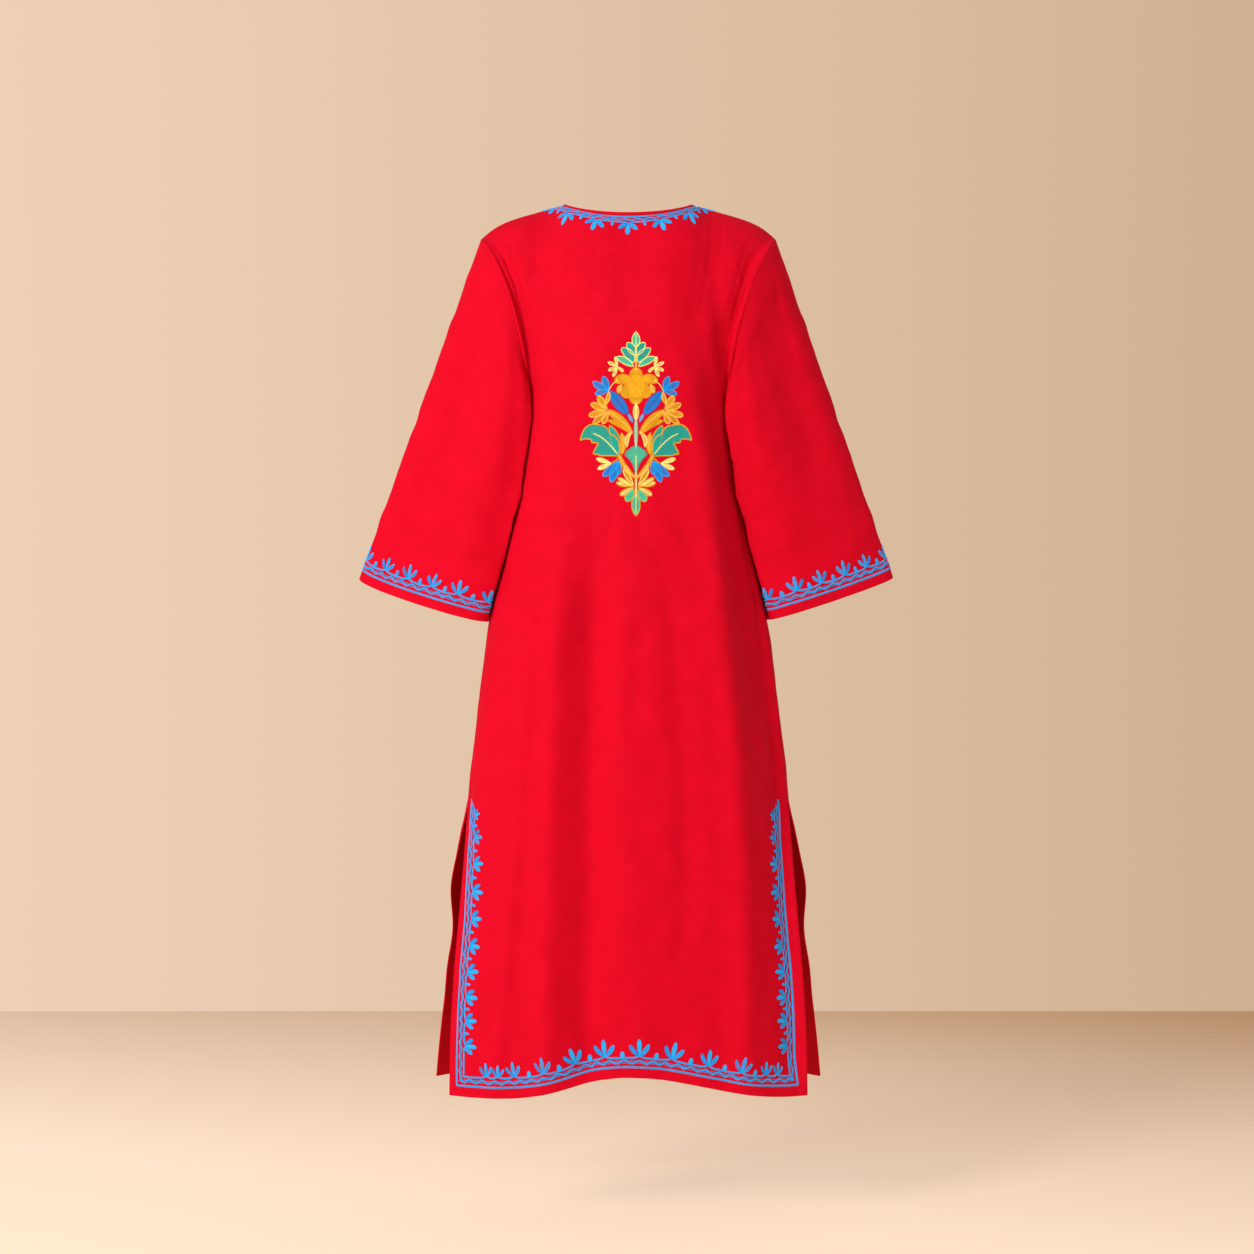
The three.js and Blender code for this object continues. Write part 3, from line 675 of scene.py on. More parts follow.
def panel_grid(panel):
    """A panel's outer points, their normals, its thickness there, and their places on the flat cut."""
    shares = panel_shares()
    share = np.abs(shares)
    sign = mirror_by(shares)
    downs = in_order(np.linspace(0, 1, round(-LEVEL_Z / ROW_STEP)), EDGE_STEPS / -LEVEL_Z)
    yoke = np.array([soft_yoke_point(panel, share, np.full(share.shape, down)) for down in downs])
    skirt_zs = np.linspace(LEVEL_Z, SLIT_Z, round((LEVEL_Z - SLIT_Z) / ROW_STEP))[1:]
    skirt = np.array([skirt_point(panel, share, z) for z in skirt_zs])
    hem = hem_height(panel, shares)
    length = SLIT_Z - panel["hem"][0]
    flap_steps = in_order(np.linspace(0, 1, round(length / ROW_STEP)), 1 - HEM_STEPS / length)[1:]
    flaps = np.array([skirt_point(panel, share, lerp(SLIT_Z, hem, t)) for t in flap_steps])
    rows = np.concatenate([yoke * sign, skirt * sign, flaps * sign])
    down = np.concatenate([downs, np.ones(len(skirt_zs) + len(flap_steps))])[:, None]
    held = smooth(np.minimum(down * 4, (1 - share) / 0.06))  # seams hold the cloth in place
    outward = grid_normals(rows, False) * panel["side"]
    x, z = rows[..., 0], rows[..., 2]
    u = np.sign(shares) * share * np.maximum(half_ring(panel, z), 0)
    v = distances(rows)
    v = v[-1:] - v
    depth = held * (fold_depth(panel["folds"], x, z) + crease_depth(panel["creases"], x, z) + ripple(u, v))
    from_top = v[:1] - v
    from_side = (1 - share) * half_ring(panel, z)
    sewn_side = smooth((z - SLIT_Z) / 20 + 0.5)
    sewn_top = smooth((SHOULDER_SHARE - share) / 0.03)
    dip = SEAM_DIP * (sewn_top * np.exp(-((from_top / SEAM_REACH) ** 2))
                      + sewn_side * np.exp(-((from_side / SEAM_REACH) ** 2)))
    rows = rows + outward * (depth - dip)[..., None]
    normals = grid_normals(rows, False) * panel["side"]
    normals[0] = top_edge(panel, share)[1] * sign
    turned_side = (1 - sewn_side) * smooth(SLIT_TURNING + 0.5 - from_side)
    turned = np.maximum(smooth(HEM_TURNING + 0.5 - v), turned_side)
    return rows, normals, lerp(CLOTH, TURNED, turned), np.stack([u, v], -1)


def body_side(y, z):
    """How far out the body's side lies at a depth and a height."""
    half, back, front = (follow(SECTIONS, "z", z, name) for name in ("half", "back", "front"))
    depth = np.where(y > 0, back, front)
    return half * (1 - np.minimum(np.abs(y) / depth, 0.95) ** EXPONENT) ** (1 / EXPONENT)


def sleeve_point(sleeve, s, turn):
    """A point of a sleeve: s is 0 at the armhole and 1 at the cuff, turn 0 the outer side."""
    q = (1 - np.cos(turn)) / 2
    q = q + q**2 * (1 - q) * smooth(s / 0.16)  # the inner side hangs flat
    inner_z = lerp(UNDERARM[2], sleeve["cuff_in_z"], s)
    inner_x = follow(SECTIONS, "z", inner_z, "half") + SLEEVE_CLEAR * smooth(s / 0.15)
    outer_x = lerp(TIP_X, sleeve["cuff_out"][0], s)
    outer_z = lerp(shoulder_height(TIP_X), sleeve["cuff_out"][1], s)
    x = lerp(outer_x, inner_x, q) - ARMHOLE_SCOOP * q * (1 - q) * (1 - s) ** 2
    z = lerp(outer_z, inner_z, q) - sleeve["sag"] * s**2 * np.abs(np.sin(turn))
    is_back = np.sin(turn) > 0
    out = np.where(is_back, lerp(ARMHOLE_BACK, CUFF_BACK, s), lerp(ARMHOLE_FRONT, CUFF_FRONT, s))
    degrees = np.degrees(turn) % 360
    fold = 0
    for start, end, at, reach, depth in zip(*SLEEVE_FOLDS.values()):
        strength = smooth((s - start) / 0.2) * smooth((end - s) / 0.2)
        fold = fold + depth * strength * np.exp(-(((degrees - at) / reach) ** 2))
    middle = lerp(UNDERARM[1] * q, sleeve["spine"], smooth(s))
    y = middle + np.sin(turn) * out * (1 - CUFF_TAPER * s * np.cos(turn)) + np.where(is_back, fold, -fold)
    # The inner side hangs against the body, and meets it in a soft bend.
    pressed = x - SLEEVE_PRESS * q**4 * smooth((s + 0.02) / 0.13) * smooth((1.05 - s) / 0.15)
    against = body_side(y, z) + SLEEVE_TOUCH * smooth(s / 0.12)
    soft = np.hypot(pressed - against, 3 * smooth(s / 0.12))
    x = np.where(q > 0.5, (pressed + against + soft) / 2, x)
    return vec(x * sleeve["side"], y, z)


SLEEVE_LENGTH = 500  # along the middle of a sleeve
CUFF_ROUND = 478  # round the cuff


def sleeve_grid(sleeve):
    """The same for a sleeve, whose cut is sewn together along the underarm."""
    turns = np.linspace(-math.pi, math.pi, round(CUFF_ROUND / COLUMN_STEP) + 1)
    even = np.linspace(0, 1, round(SLEEVE_LENGTH / ROW_STEP))
    steps = in_order(even, EDGE_STEPS / SLEEVE_LENGTH, 1 - CUFF_STEPS / SLEEVE_LENGTH)
    s, turn = np.meshgrid(steps, turns, indexing="ij")
    rows = sleeve_point(sleeve, s, turn)
    across, _, seam_out = armhole_seam(turns)
    rows[0] = (armhole_point(turns) + across * SEAM_GAP / 2) * np.array([sleeve["side"], 1, 1])
    u = distances(rows[-1])[None] + np.zeros(s.shape)
    v = distances(rows)
    v = v[-1:] - v
    cut = np.stack([u, v], -1)
    rows, u, v, s, turn = rows[:, :-1], u[:, :-1], v[:, :-1], s[:, :-1], turn[:, :-1]
    outward = grid_normals(rows, True) * -sleeve["side"]
    per_degree = CUFF_ROUND / 360
    size = np.array([SLEEVE_LENGTH, per_degree, SLEEVE_LENGTH, per_degree, 1, 1])
    s0, turn0, s1, turn1, reach, depth = np.array(list(SLEEVE_CREASES.values())) * size[:, None]
    creases = {"x0": turn0, "z0": s0, "x1": turn1, "z1": s1, "reach": reach, "depth": depth}
    around, along = np.degrees(turn) % 360 * per_degree, s * SLEEVE_LENGTH
    free = smooth(np.minimum(s * 12, (math.pi - np.abs(turn)) / 0.3))
    depth = free * (crease_depth(creases, around, along) + ripple(v, u))
    underarm = (math.pi - np.abs(turn)) * CUFF_ROUND / (2 * math.pi)
    dip = 0.6 * SEAM_DIP * np.exp(-((underarm / SEAM_REACH) ** 2)) * smooth(s * 12)
    rows = rows + outward * (depth - dip)[..., None]
    normals = grid_normals(rows, True) * -sleeve["side"]
    normals[0] = seam_out[:-1] * np.array([sleeve["side"], 1, 1])
    turned = smooth((CUFF_TURNING - v) / 1.6 + 0.5)
    return rows, normals, lerp(CLOTH, TURNED, turned), cut


# ---------------------------------------------------------------- materials


def add_node(tree, kind, settings=None, inputs=None):
    """A new node of a tree: its settings come first, then the values or links of its sockets."""
    made = tree.nodes.new(kind)
    for key, value in (settings or {}).items():
        setattr(made, key, value)
    for key, value in (inputs or {}).items():
        if isinstance(value, bpy.types.NodeSocket):
            tree.links.new(value, made.inputs[key])
        else:
            made.inputs[key].default_value = value
    return made


class Sum:
    """A value socket that Python's operators add Math nodes to."""

    def __init__(self, shader, socket):
        self.shader, self.socket = shader, socket

    def _math(self, operation, *values):
        return self.shader.node("ShaderNodeMath", {"operation": operation}, dict(enumerate(values)))

    def __add__(self, other):
        return self._math("ADD", self, other)

    def __sub__(self, other):
        return self._math("SUBTRACT", self, other)

    def __rsub__(self, other):
        return self._math("SUBTRACT", other, self)

    def __mul__(self, other):
        return self._math("MULTIPLY", self, other)

    def __truediv__(self, other):
        return self._math("DIVIDE", self, other)

    __radd__, __rmul__ = __add__, __mul__

    def wave(self):
        """A wave between 0 and 1 that comes round once for each whole number."""
        return self._math("SINE", self * (2 * math.pi)) * 0.5 + 0.5


class Shader:
    """A material under construction, with one method for any node."""

    def __init__(self, name):
        self.material = bpy.data.materials.new(name)
        self.material.use_nodes = True
        self.tree = self.material.node_tree
        self.tree.nodes.clear()

    def node(self, kind, settings=None, inputs=None, output=0):
        """Adds a node, and gives one of its outputs as a value that can be reckoned with."""
        inputs = inputs or {}
        plain = {key: value.socket if isinstance(value, Sum) else value for key, value in inputs.items()}
        return Sum(self, add_node(self.tree, kind, settings, plain).outputs[output])

    def mix(self, factor, first, second):
        """Two colours mixed by a factor."""
        settings = {"data_type": "RGBA"}
        return self.node("ShaderNodeMix", settings, {0: factor, 6: first, 7: second}, output=2)

    def noise(self, vector, scale, detail=2.0, roughness=0.5):
        inputs = {"Vector": vector, "Scale": scale, "Detail": detail, "Roughness": roughness}
        return self.node("ShaderNodeTexNoise", {}, inputs)

    def split(self, vector):
        made = self.node("ShaderNodeSeparateXYZ", {}, {0: vector}).socket.node
        return [Sum(self, made.outputs[k]) for k in range(3)]

    def bump(self, height, distance):
        return self.node("ShaderNodeBump", {}, {"Height": height, "Distance": distance})

    def finish(self, **inputs):
        """Ends in a Principled surface; a name's underscores stand for spaces."""
        named = {key.replace("_", " "): value for key, value in inputs.items()}
        surface = self.node("ShaderNodeBsdfPrincipled", {}, named)
        add_node(self.tree, "ShaderNodeOutputMaterial", {}, {"Surface": surface.socket})
        return self.material


def colour(*seen):
    """A colour as it is seen, in red, green and blue from 0 to 255, made linear."""
    shares = [level / 255 for level in seen]
    return (*(((c + 0.055) / 1.055) ** 2.4 if c > 0.04 else c / 12.92 for c in shares), 1.0)


TWILL_RIB = 1.9  # millimetres from rib to rib,
THREAD_PITCH = 0.62  # and from thread to thread along a rib
ACROSS_RIBS = (0.62, 0.78)  # the direction across the ribs on the cut
RED_LIGHT = colour(238, 4, 44)
RED_DEEP = colour(190, 0, 20)
RED_WRONG = colour(206, 4, 26)


def twill(name, light, deep, rib_height=0.00022, sheen=0.22):
    """Wool twill: wavy diagonal ribs, single threads across them, a soft nap and slow changes of tone."""
    shader = Shader(name)
    uv = shader.node("ShaderNodeUVMap", {"uv_map": "cut"})
    u, v, _ = shader.split(uv)
    u, v = u * (1 / MM), v * (1 / MM)
    drift = shader.noise(uv, 55, 2.0) - 0.5
    wander = shader.noise(uv, 420, 1.0) - 0.5
    right, up = ACROSS_RIBS
    rib = ((u * right + v * up) / TWILL_RIB + drift * 2.2 + wander * 0.55).wave()
    threads = ((u * up - v * right) / THREAD_PITCH + wander * 0.8).wave()
    nap = shader.noise(uv, 1500, 3.0, 0.7)
    grain = shader.noise(uv, 430, 2.0, 0.7)
    mottle = shader.noise(uv, 26, 4.0, 0.6)
    tone = mottle * 0.5 + rib * 0.24 + grain * 0.9 + nap * 0.15 - 0.45
    height = rib * (0.6 + 0.4 * threads) + nap * 0.5 + grain * 0.9
    return shader.finish(
        Base_Color=shader.mix(tone, deep, light),
        Roughness=0.86 - 0.12 * rib,
        Normal=shader.bump(height, rib_height),
        Sheen_Weight=sheen,
        Sheen_Roughness=0.45,
        Sheen_Tint=colour(255, 20, 60),
        Specular_IOR_Level=0.07,
    )


def yarn():
    """Embroidery yarn: each stitch has its thread's own colour, a little lighter or darker than the next."""
    shader = Shader("embroidery_yarn")
    thread = shader.node("ShaderNodeAttribute", {"attribute_name": "thread"})
    tone = shader.node("ShaderNodeAttribute", {"attribute_name": "tone"}, output=2)
    place = shader.node("ShaderNodeTexCoord", output=3)
    fibre = shader.noise(place, 1900, 2.0, 0.6)
    shade = {"Value": 0.98 + 0.24 * tone + 0.16 * fibre, "Color": thread}
    return shader.finish(
        Base_Color=shader.node("ShaderNodeHueSaturation", {}, shade),
        Roughness=0.62 - 0.14 * fibre,
        Normal=shader.bump(fibre, 0.00012),
        Sheen_Weight=0.12,
        Sheen_Roughness=0.4,
        Specular_IOR_Level=0.25,
    )


def painted_light_floor():
    """The studio's floor, with painted light: its colour and a painted glow of its own are both paler towards
    the camera and on the lit side.
    """
    shader = Shader("painted_light_floor")
    place = shader.node("ShaderNodeTexCoord", output=3)
    x, y, _ = shader.split(place)
    speckle = shader.noise(place, 3, 3.0)
    # painted light and shade: near grows towards the camera and on the lit side, +x, and makes the floor's
    # colour and its painted glow paler there
    near = 1.0 + 0.15 * x + 0.3 * y
    return shader.finish(
        Base_Color=shader.mix(near + 0.1 * speckle, colour(146, 106, 66), colour(186, 163, 138)),
        Roughness=0.9,
        # a painted glow: the floor is no lamp, yet it emits light
        Emission_Color=shader.mix(near, colour(126, 78, 2), colour(203, 183, 165)),
        Emission_Strength=1.0,
    )


# ---------------------------------------------------------------- embroidery, drawn flat

ROW = 1.5  # from one row of chain stitch to the next
SHORTEST_ROW = 1.2
OUTLINE_LIFT = 0.12  # how far an outline stands above the rows inside it
SKY = colour(6, 166, 246)
AQUA = colour(24, 190, 250)
BLUE = colour(2, 130, 212)
ROYAL = colour(22, 98, 200)
GOLD = colour(222, 168, 12)
AMBER = colour(220, 148, 8)
PEACH = colour(246, 192, 96)
STRAW = colour(238, 228, 136)
TEAL = colour(0, 172, 156)
MINT = colour(64, 198, 162)
GREY_BLUE = colour(150, 186, 190)


class Needlework:
    """Rows of chain stitch on the flat cloth: each a line of points in millimetres, a colour and a lift."""

    def __init__(self):
        self.points, self.edges, self.colours, self.widths = [], [], [], []

    def row(self, line, thread, lift=0.0, closed=False, thick=1.0):
        """One row along a line, unless it would be too short to stitch."""
        line = np.asarray(line, float)
        if len(line) < 2 or distances(line)[-1] < SHORTEST_ROW:
            return
        start, count = len(self.points), len(line)
        self.points += [(x, y, lift) for x, y in line]
        self.edges += [(start + k, start + k + 1) for k in range(count - 1)]
        if closed:
            self.edges.append((start + count - 1, start))
        self.colours += [thread] * count
        self.widths += [thick] * count

    def band(self, line, rows, thread, lift=0.0):
        """Some rows side by side along a line."""
        for k in range(rows):
            self.row(line + to_left(line) * (k - (rows - 1) / 2) * ROW, thread, lift)

    def leaf(self, base, tip, width, fill, edge=None, vein=None, bend=0.0, belly=1.0, blunt=0.8, lift=0.0):
        """A petal or leaf from base to tip, worked in rows along its length. Belly over 1 puts its widest
        place towards the tip, blunt under 1 rounds both ends, and bend bows it to the left."""
        base, tip = np.asarray(base, float), np.asarray(tip, float)
        length = np.linalg.norm(tip - base)
        ahead = (tip - base) / length
        left = np.array([-ahead[1], ahead[0]])
        t = np.linspace(0, 1, max(7, round(length / 1.4)))
        spine = base + np.outer(t * length, ahead) + np.outer(np.sin(math.pi * t) * bend * length, left)
        sideways = to_left(spine)
        half = (width - ROW) / 2 * np.sin(math.pi * np.clip(t, 0.001, 0.999) ** belly) ** blunt
        count = max(1, round((width - ROW) / 2 / ROW))
        one_side, other_side = spine - sideways * half[:, None], spine + sideways * half[:, None]
        outline = np.concatenate([one_side, other_side[-2:0:-1]])
        self.row(outline, edge or fill, lift + OUTLINE_LIFT, closed=True)
        for k in range(1 - count, count):
            room = half / count
            keep = room > (0.5 if k % 2 else 0.3) * ROW  # every second row stops before it is crowded
            if k == 0:
                keep = (t > 0.05) & (t < 0.93)
            inside = np.flatnonzero(keep)
            if len(inside) > 2:
                line = spine + sideways * (half * k / count)[:, None]
                thread = vein if vein and k == 0 else fill
                self.row(line[inside[0] : inside[-1] + 1], thread, lift + (0.15 if thread is vein else 0.0))

    def lobed(self, shape, sign, fill, edge, vein, lift=0.0):
        """A leaf with lobes along a bent spine, from a table of the spine's points and of the leaf's reach to
        the left and right of each, worked in rows beside the spine. A sign of -1 mirrors it."""
        t = np.linspace(0, 1, 60)
        x, y, left, right = (follow(shape, "t", t, name) for name in ("x", "y", "left", "right"))
        line = np.stack([x, y], 1)
        sideways = to_left(line)
        mirror = np.array([sign, 1])
        rim = np.concatenate([line + sideways * left[:, None], (line - sideways * right[:, None])[::-1]])
        self.row(rim * mirror, edge, lift + OUTLINE_LIFT, closed=True, thick=1.2)
        for side, reach in ((1, left), (-1, right)):
            for k in range(int(reach.max() / ROW)):
                inside = np.flatnonzero(reach > (k + 1.2) * ROW)
                for stretch in np.split(inside, np.flatnonzero(np.diff(inside) > 1) + 1):
                    if len(stretch) > 2:
                        row = line[stretch] + sideways[stretch] * side * (k + 0.5) * ROW
                        self.row(row * mirror, fill, lift)
        vein_line = line[3:38]  # from near the base to past the middle
        self.row(vein_line * mirror, vein, lift + 0.2, thick=1.2)


def fan(work, at, height, turn, spread, plump):
    """A border flower that opens away from the edge: three round-ended petals, the middle one tallest. Turn
    and spread are in degrees, and plump is a petal's width as a share of its length."""
    for side in (-1, 1, 0):
        angle = math.radians(90 + turn + side * spread)
        reach = height * (0.86 if side else 1)
        tip = np.asarray(at) + reach * np.array([math.cos(angle), math.sin(angle)])
        fill, edge = SKY if side else AQUA, BLUE if side > 0 else SKY
        work.leaf(at, tip, height * plump, fill, edge, bend=0.08 * side, belly=1.4, blunt=0.55,
                  lift=0.15 if side else 0.3)


BORDER_STEP = 1.5  # between the points of a border's lines
BORDER_WAVE = 19
BUD_ROOM = 25  # the least distance between two flowers that leaves room for a bud


def border(work, length, spots, closed=False, size=1.0, spread=37, plump=0.27, bud=6.4):
    """A vine border along the first axis, standing on the second: a line, two waves that cross, and a stem
    that rises to a flower at each spot, given as a place and a height, and carries a bud between two. Size
    scales its lines, spread and plump shape its flowers, and bud is a bud's width."""
    wave_at, wave, stem_at = 7.4 * size, 2.1 * size, 13 * size
    along = np.arange(0, length + 0.1, BORDER_STEP)
    turns = along / length * 2 * math.pi
    swing = wave * np.sin(turns * round(length / BORDER_WAVE) + 0.6 * np.sin(5 * turns))
    places = np.array([place for place, _ in spots])
    if closed:
        places = np.concatenate([places - length, places, places + length])
    to_flower = np.abs(along[:, None] - places).min(1)
    rise = 4.4 * size * np.exp(-to_flower / (4 * size))
    lines = [
        # height, how far its ends stop short, thread, lift, thickness
        (0 * along, 0, SKY, 0.0, 2.1 * size**0.5),
        (wave_at - 0.8 * swing, wave_at, BLUE, 0.0, 0.9),
        (wave_at + swing, wave_at, SKY, 0.35, 2.1 * size),
        (stem_at + rise, stem_at, SKY, 0.15, 1.9 * size),
    ]
    for heights, short, thread, lift, thick in lines:
        skip = 0 if closed else round(short / BORDER_STEP)
        line = np.stack([along, heights], 1)
        work.row(line[skip : len(line) - skip], thread, lift, thick=thick)
    for (first, _), (last, _) in zip(spots, spots[1:] + spots[:1] if closed else spots[1:]):
        middle = (first + (last if last > first else last + length)) / 2
        if abs(last - first) > BUD_ROOM:
            work.leaf((middle, stem_at - 0.6), (middle + 0.5, stem_at + 9 * size), bud * size, AQUA, SKY,
                      belly=1.3 if bud < 5 else 0.9, blunt=0.5, lift=0.1)
    for k, (place, height) in enumerate(spots):
        fan(work, (place, stem_at + 3 * size), height, 4 * (-1) ** k, spread, plump)


# The large motif of the back, in millimetres from its middle: each leaf or petal from its base to its tip.
# Every one but those on the middle line is worked again on the other side.
BUTA = [
    # base, tip, width, fill, edge, vein, bend, belly, blunt
    ((0, 110), (0, 133), 13, MINT, STRAW, STRAW, 0, 0.9, 0.8),
    ((-1, 99), (-13, 117), 13, TEAL, STRAW, None, -0.06, 1.0, 0.6),
    ((-3, 89), (-21, 109), 14, TEAL, STRAW, None, -0.08, 1.0, 0.6),
    ((-4, 83), (-28, 96), 11, MINT, STRAW, None, -0.05, 1.1, 0.6),
    ((-27, 83), (-30, 97), 5, STRAW, None, None, 0, 1.4, 0.6),
    ((-28, 83), (-40, 89), 5.5, STRAW, None, None, 0, 1.4, 0.6),
    ((-28, 81), (-40, 77), 5.5, STRAW, None, None, 0, 1.4, 0.6),
    ((-27, 81), (-33, 68), 5.5, STRAW, None, None, 0, 1.4, 0.6),
    ((-26, 82), (-18, 75), 5, STRAW, None, None, 0, 1.4, 0.6),
    ((0, 52), (0, 81), 19, GOLD, AMBER, None, 0, 1.7, 0.6),
    ((-3, 63), (-31, 60), 14, GOLD, AMBER, None, -0.14, 1.4, 0.6),
    ((0, 54), (-22, 70), 14, GOLD, AMBER, None, 0.05, 1.5, 0.6),
    ((0, 58), (-20, 40), 20, GOLD, AMBER, None, 0, 1.5, 0.5),
    ((0, 58), (0, 28), 20, GOLD, AMBER, None, 0, 1.6, 0.5),
    ((0, 70), (0, 38), 24, GOLD, GOLD, None, 0, 1.0, 0.4),
    ((0, 52), (0, 38), 9, AMBER, GOLD, None, 0, 1.2, 0.8),
    ((-20, 57), (-25, 44), 8, PEACH, GOLD, None, -0.1, 1.3, 0.7),
    ((-40, 49), (-47, 68), 10, BLUE, SKY, None, 0, 1.3, 0.7),
    ((-40, 49), (-62, 61), 10, BLUE, SKY, None, 0.06, 1.3, 0.7),
    ((-40, 48), (-59, 43), 9, BLUE, SKY, None, 0, 1.3, 0.7),
    ((-12, 14), (-38, 47), 17, BLUE, ROYAL, ROYAL, 0, 0.95, 0.65),
    ((-5, 3), (-11, 14), 5, GREY_BLUE, SKY, None, 0, 1.0, 0.8),
    ((-45, 27), (-39, 46), 7, GOLD, PEACH, None, -0.08, 1.2, 0.8),
    ((-42, 22), (-55, 40), 10, GOLD, PEACH, AMBER, 0, 1.5, 0.6),
    ((-43, 20), (-65, 29), 10, GOLD, PEACH, AMBER, 0, 1.5, 0.6),
    ((-43, 18), (-68, 12), 10, GOLD, PEACH, AMBER, 0, 1.5, 0.6),
    ((-42, 17), (-62, 0), 9, GOLD, PEACH, AMBER, 0, 1.5, 0.6),
    ((-40, 16), (-48, 0), 9, GOLD, PEACH, None, 0, 1.5, 0.7),
    ((-5, -14), (-43, 20), 12, GOLD, AMBER, PEACH, -0.06, 1.2, 0.6),
    ((-7, -15), (-40, 5), 8, GOLD, AMBER, None, -0.08, 1.3, 0.6),
    ((-6, -12), (-13, -33), 7, PEACH, STRAW, None, -0.16, 1.2, 0.8),
    ((-21, -45), (-21, -13), 10, GOLD, AMBER, PEACH, -0.08, 1.1, 0.8),
    ((0, 5), (0, 29), 9, PEACH, STRAW, STRAW, 0, 1.0, 0.8),
    ((0, -36), (0, 6), 6, MINT, GREY_BLUE, STRAW, 0, 1.3, 0.6),
    ((-26, -44), (-38, -2), 15, TEAL, GOLD, None, -0.05, 1.0, 0.8),
    ((-26, -54), (-36, -84), 12, BLUE, SKY, None, 0, 1.2, 0.65),
    ((-26, -54), (-48, -75), 11, BLUE, SKY, None, 0.05, 1.3, 0.65),
    ((-25, -54), (-25, -73), 9, BLUE, SKY, None, 0, 1.3, 0.7),
    ((-36, -57), (-57, -50), 7, STRAW, None, None, 0, 1.5, 0.6),
    ((-37, -58), (-55, -65), 7, STRAW, None, None, 0, 1.5, 0.6),
    ((0, -79), (-25, -43), 8, GOLD, AMBER, PEACH, 0.08, 1.0, 0.6),
    ((-8, -73), (-17, -60), 6, GOLD, PEACH, None, 0, 1.3, 0.7),
    ((-4, -88), (-18, -66), 8, GOLD, STRAW, None, 0, 1.4, 0.6),
    ((-5, -89), (-28, -85), 9, STRAW, GOLD, None, 0, 1.4, 0.6),
    ((-4, -91), (-26, -78), 7, STRAW, GOLD, None, 0, 1.4, 0.6),
    ((-4, -92), (-23, -103), 9, STRAW, GOLD, None, 0, 1.4, 0.6),
    ((-4, -94), (-14, -112), 13, MINT, GOLD, None, 0, 1.1, 0.5),
    ((0, -101), (0, -133), 14, MINT, GOLD, STRAW, 0, 0.95, 0.7),
]
# Its great leaves and its heart have lobes, so they are tables of their own.
GREAT_LEAF = table(
    "t x y left right",
    (0, -24.5, -46, 1, 1),
    (0.1, -30, -39.5, 10, 8),
    (0.2, -35.5, -33, 19.5, 13),
    (0.3, -41, -27, 23.5, 13.5),
    (0.38, -45.5, -23, 24.5, 12),
    (0.43, -48.5, -20.5, 10, 14.5),
    (0.5, -52.5, -18, 11, 16),
    (0.62, -60, -14.5, 13, 14),
    (0.72, -65.5, -14, 10.5, 12.5),
    (0.82, -71, -16, 6.5, 8.5),
    (0.92, -76, -19.5, 3, 4),
    (1, -80, -23, 0.5, 0.5),
)
HEART = table(
    "t x y left right",
    (0, 0, -70, 0.5, 0.5),
    (0.35, 0, -57, 5, 5),
    (0.58, 0, -48.5, 11.5, 11.5),
    (0.7, 0, -44, 15.5, 15.5),
    (0.85, 0, -38.5, 11, 11),
    (1, 0, -33, 3, 3),
)
# Its stems: a thread's colour, how many rows, and the points it passes.
BUTA_STEMS = [
    (PEACH, 2, ((0, 78), (0, 112))),
    (STRAW, 1, ((-27, 63), (-34, 57), (-39, 49))),
    (GOLD, 1, ((-39, 47), (-44, 36), (-43, 24))),
    (STRAW, 2, ((0, 30), (0, 4))),
    (STRAW, 2, ((0, -68), (0, -104))),
    (GOLD, 1, ((-24, -47), (-28, -52), (-34, -56))),
]


def buta(work):
    """The large motif, with its own middle at the origin."""
    for base, tip, width, fill, edge, vein, bend, belly, blunt in BUTA:
        lift = 0.15 if width < 9 else 0.0
        for sign in (1, -1) if base[0] or tip[0] else (1,):
            work.leaf((base[0] * sign, base[1]), (tip[0] * sign, tip[1]), width, fill, edge, vein,
                      bend * sign, belly, blunt, lift)
    for sign in (1, -1):
        work.lobed(GREAT_LEAF, sign, TEAL, GOLD, STRAW, lift=0.25)
    work.lobed(HEART, 1, MINT, TEAL, STRAW)
    for thread, rows, line in BUTA_STEMS:
        for sign in (1, -1) if any(x for x, _ in line) else (1,):
            t = np.linspace(0, len(line) - 1, 12)
            x = np.interp(t, range(len(line)), [p[0] * sign for p in line])
            y = np.interp(t, range(len(line)), [p[1] for p in line])
            work.band(np.stack([x, y], 1), rows, thread, 0.1)


# ---------------------------------------------------------------- embroidery, stitched

STITCH_SIZES = {"Stitch Length": 2.1, "Row Width": ROW, "Row Height": 0.9, "Lean": 0.3}


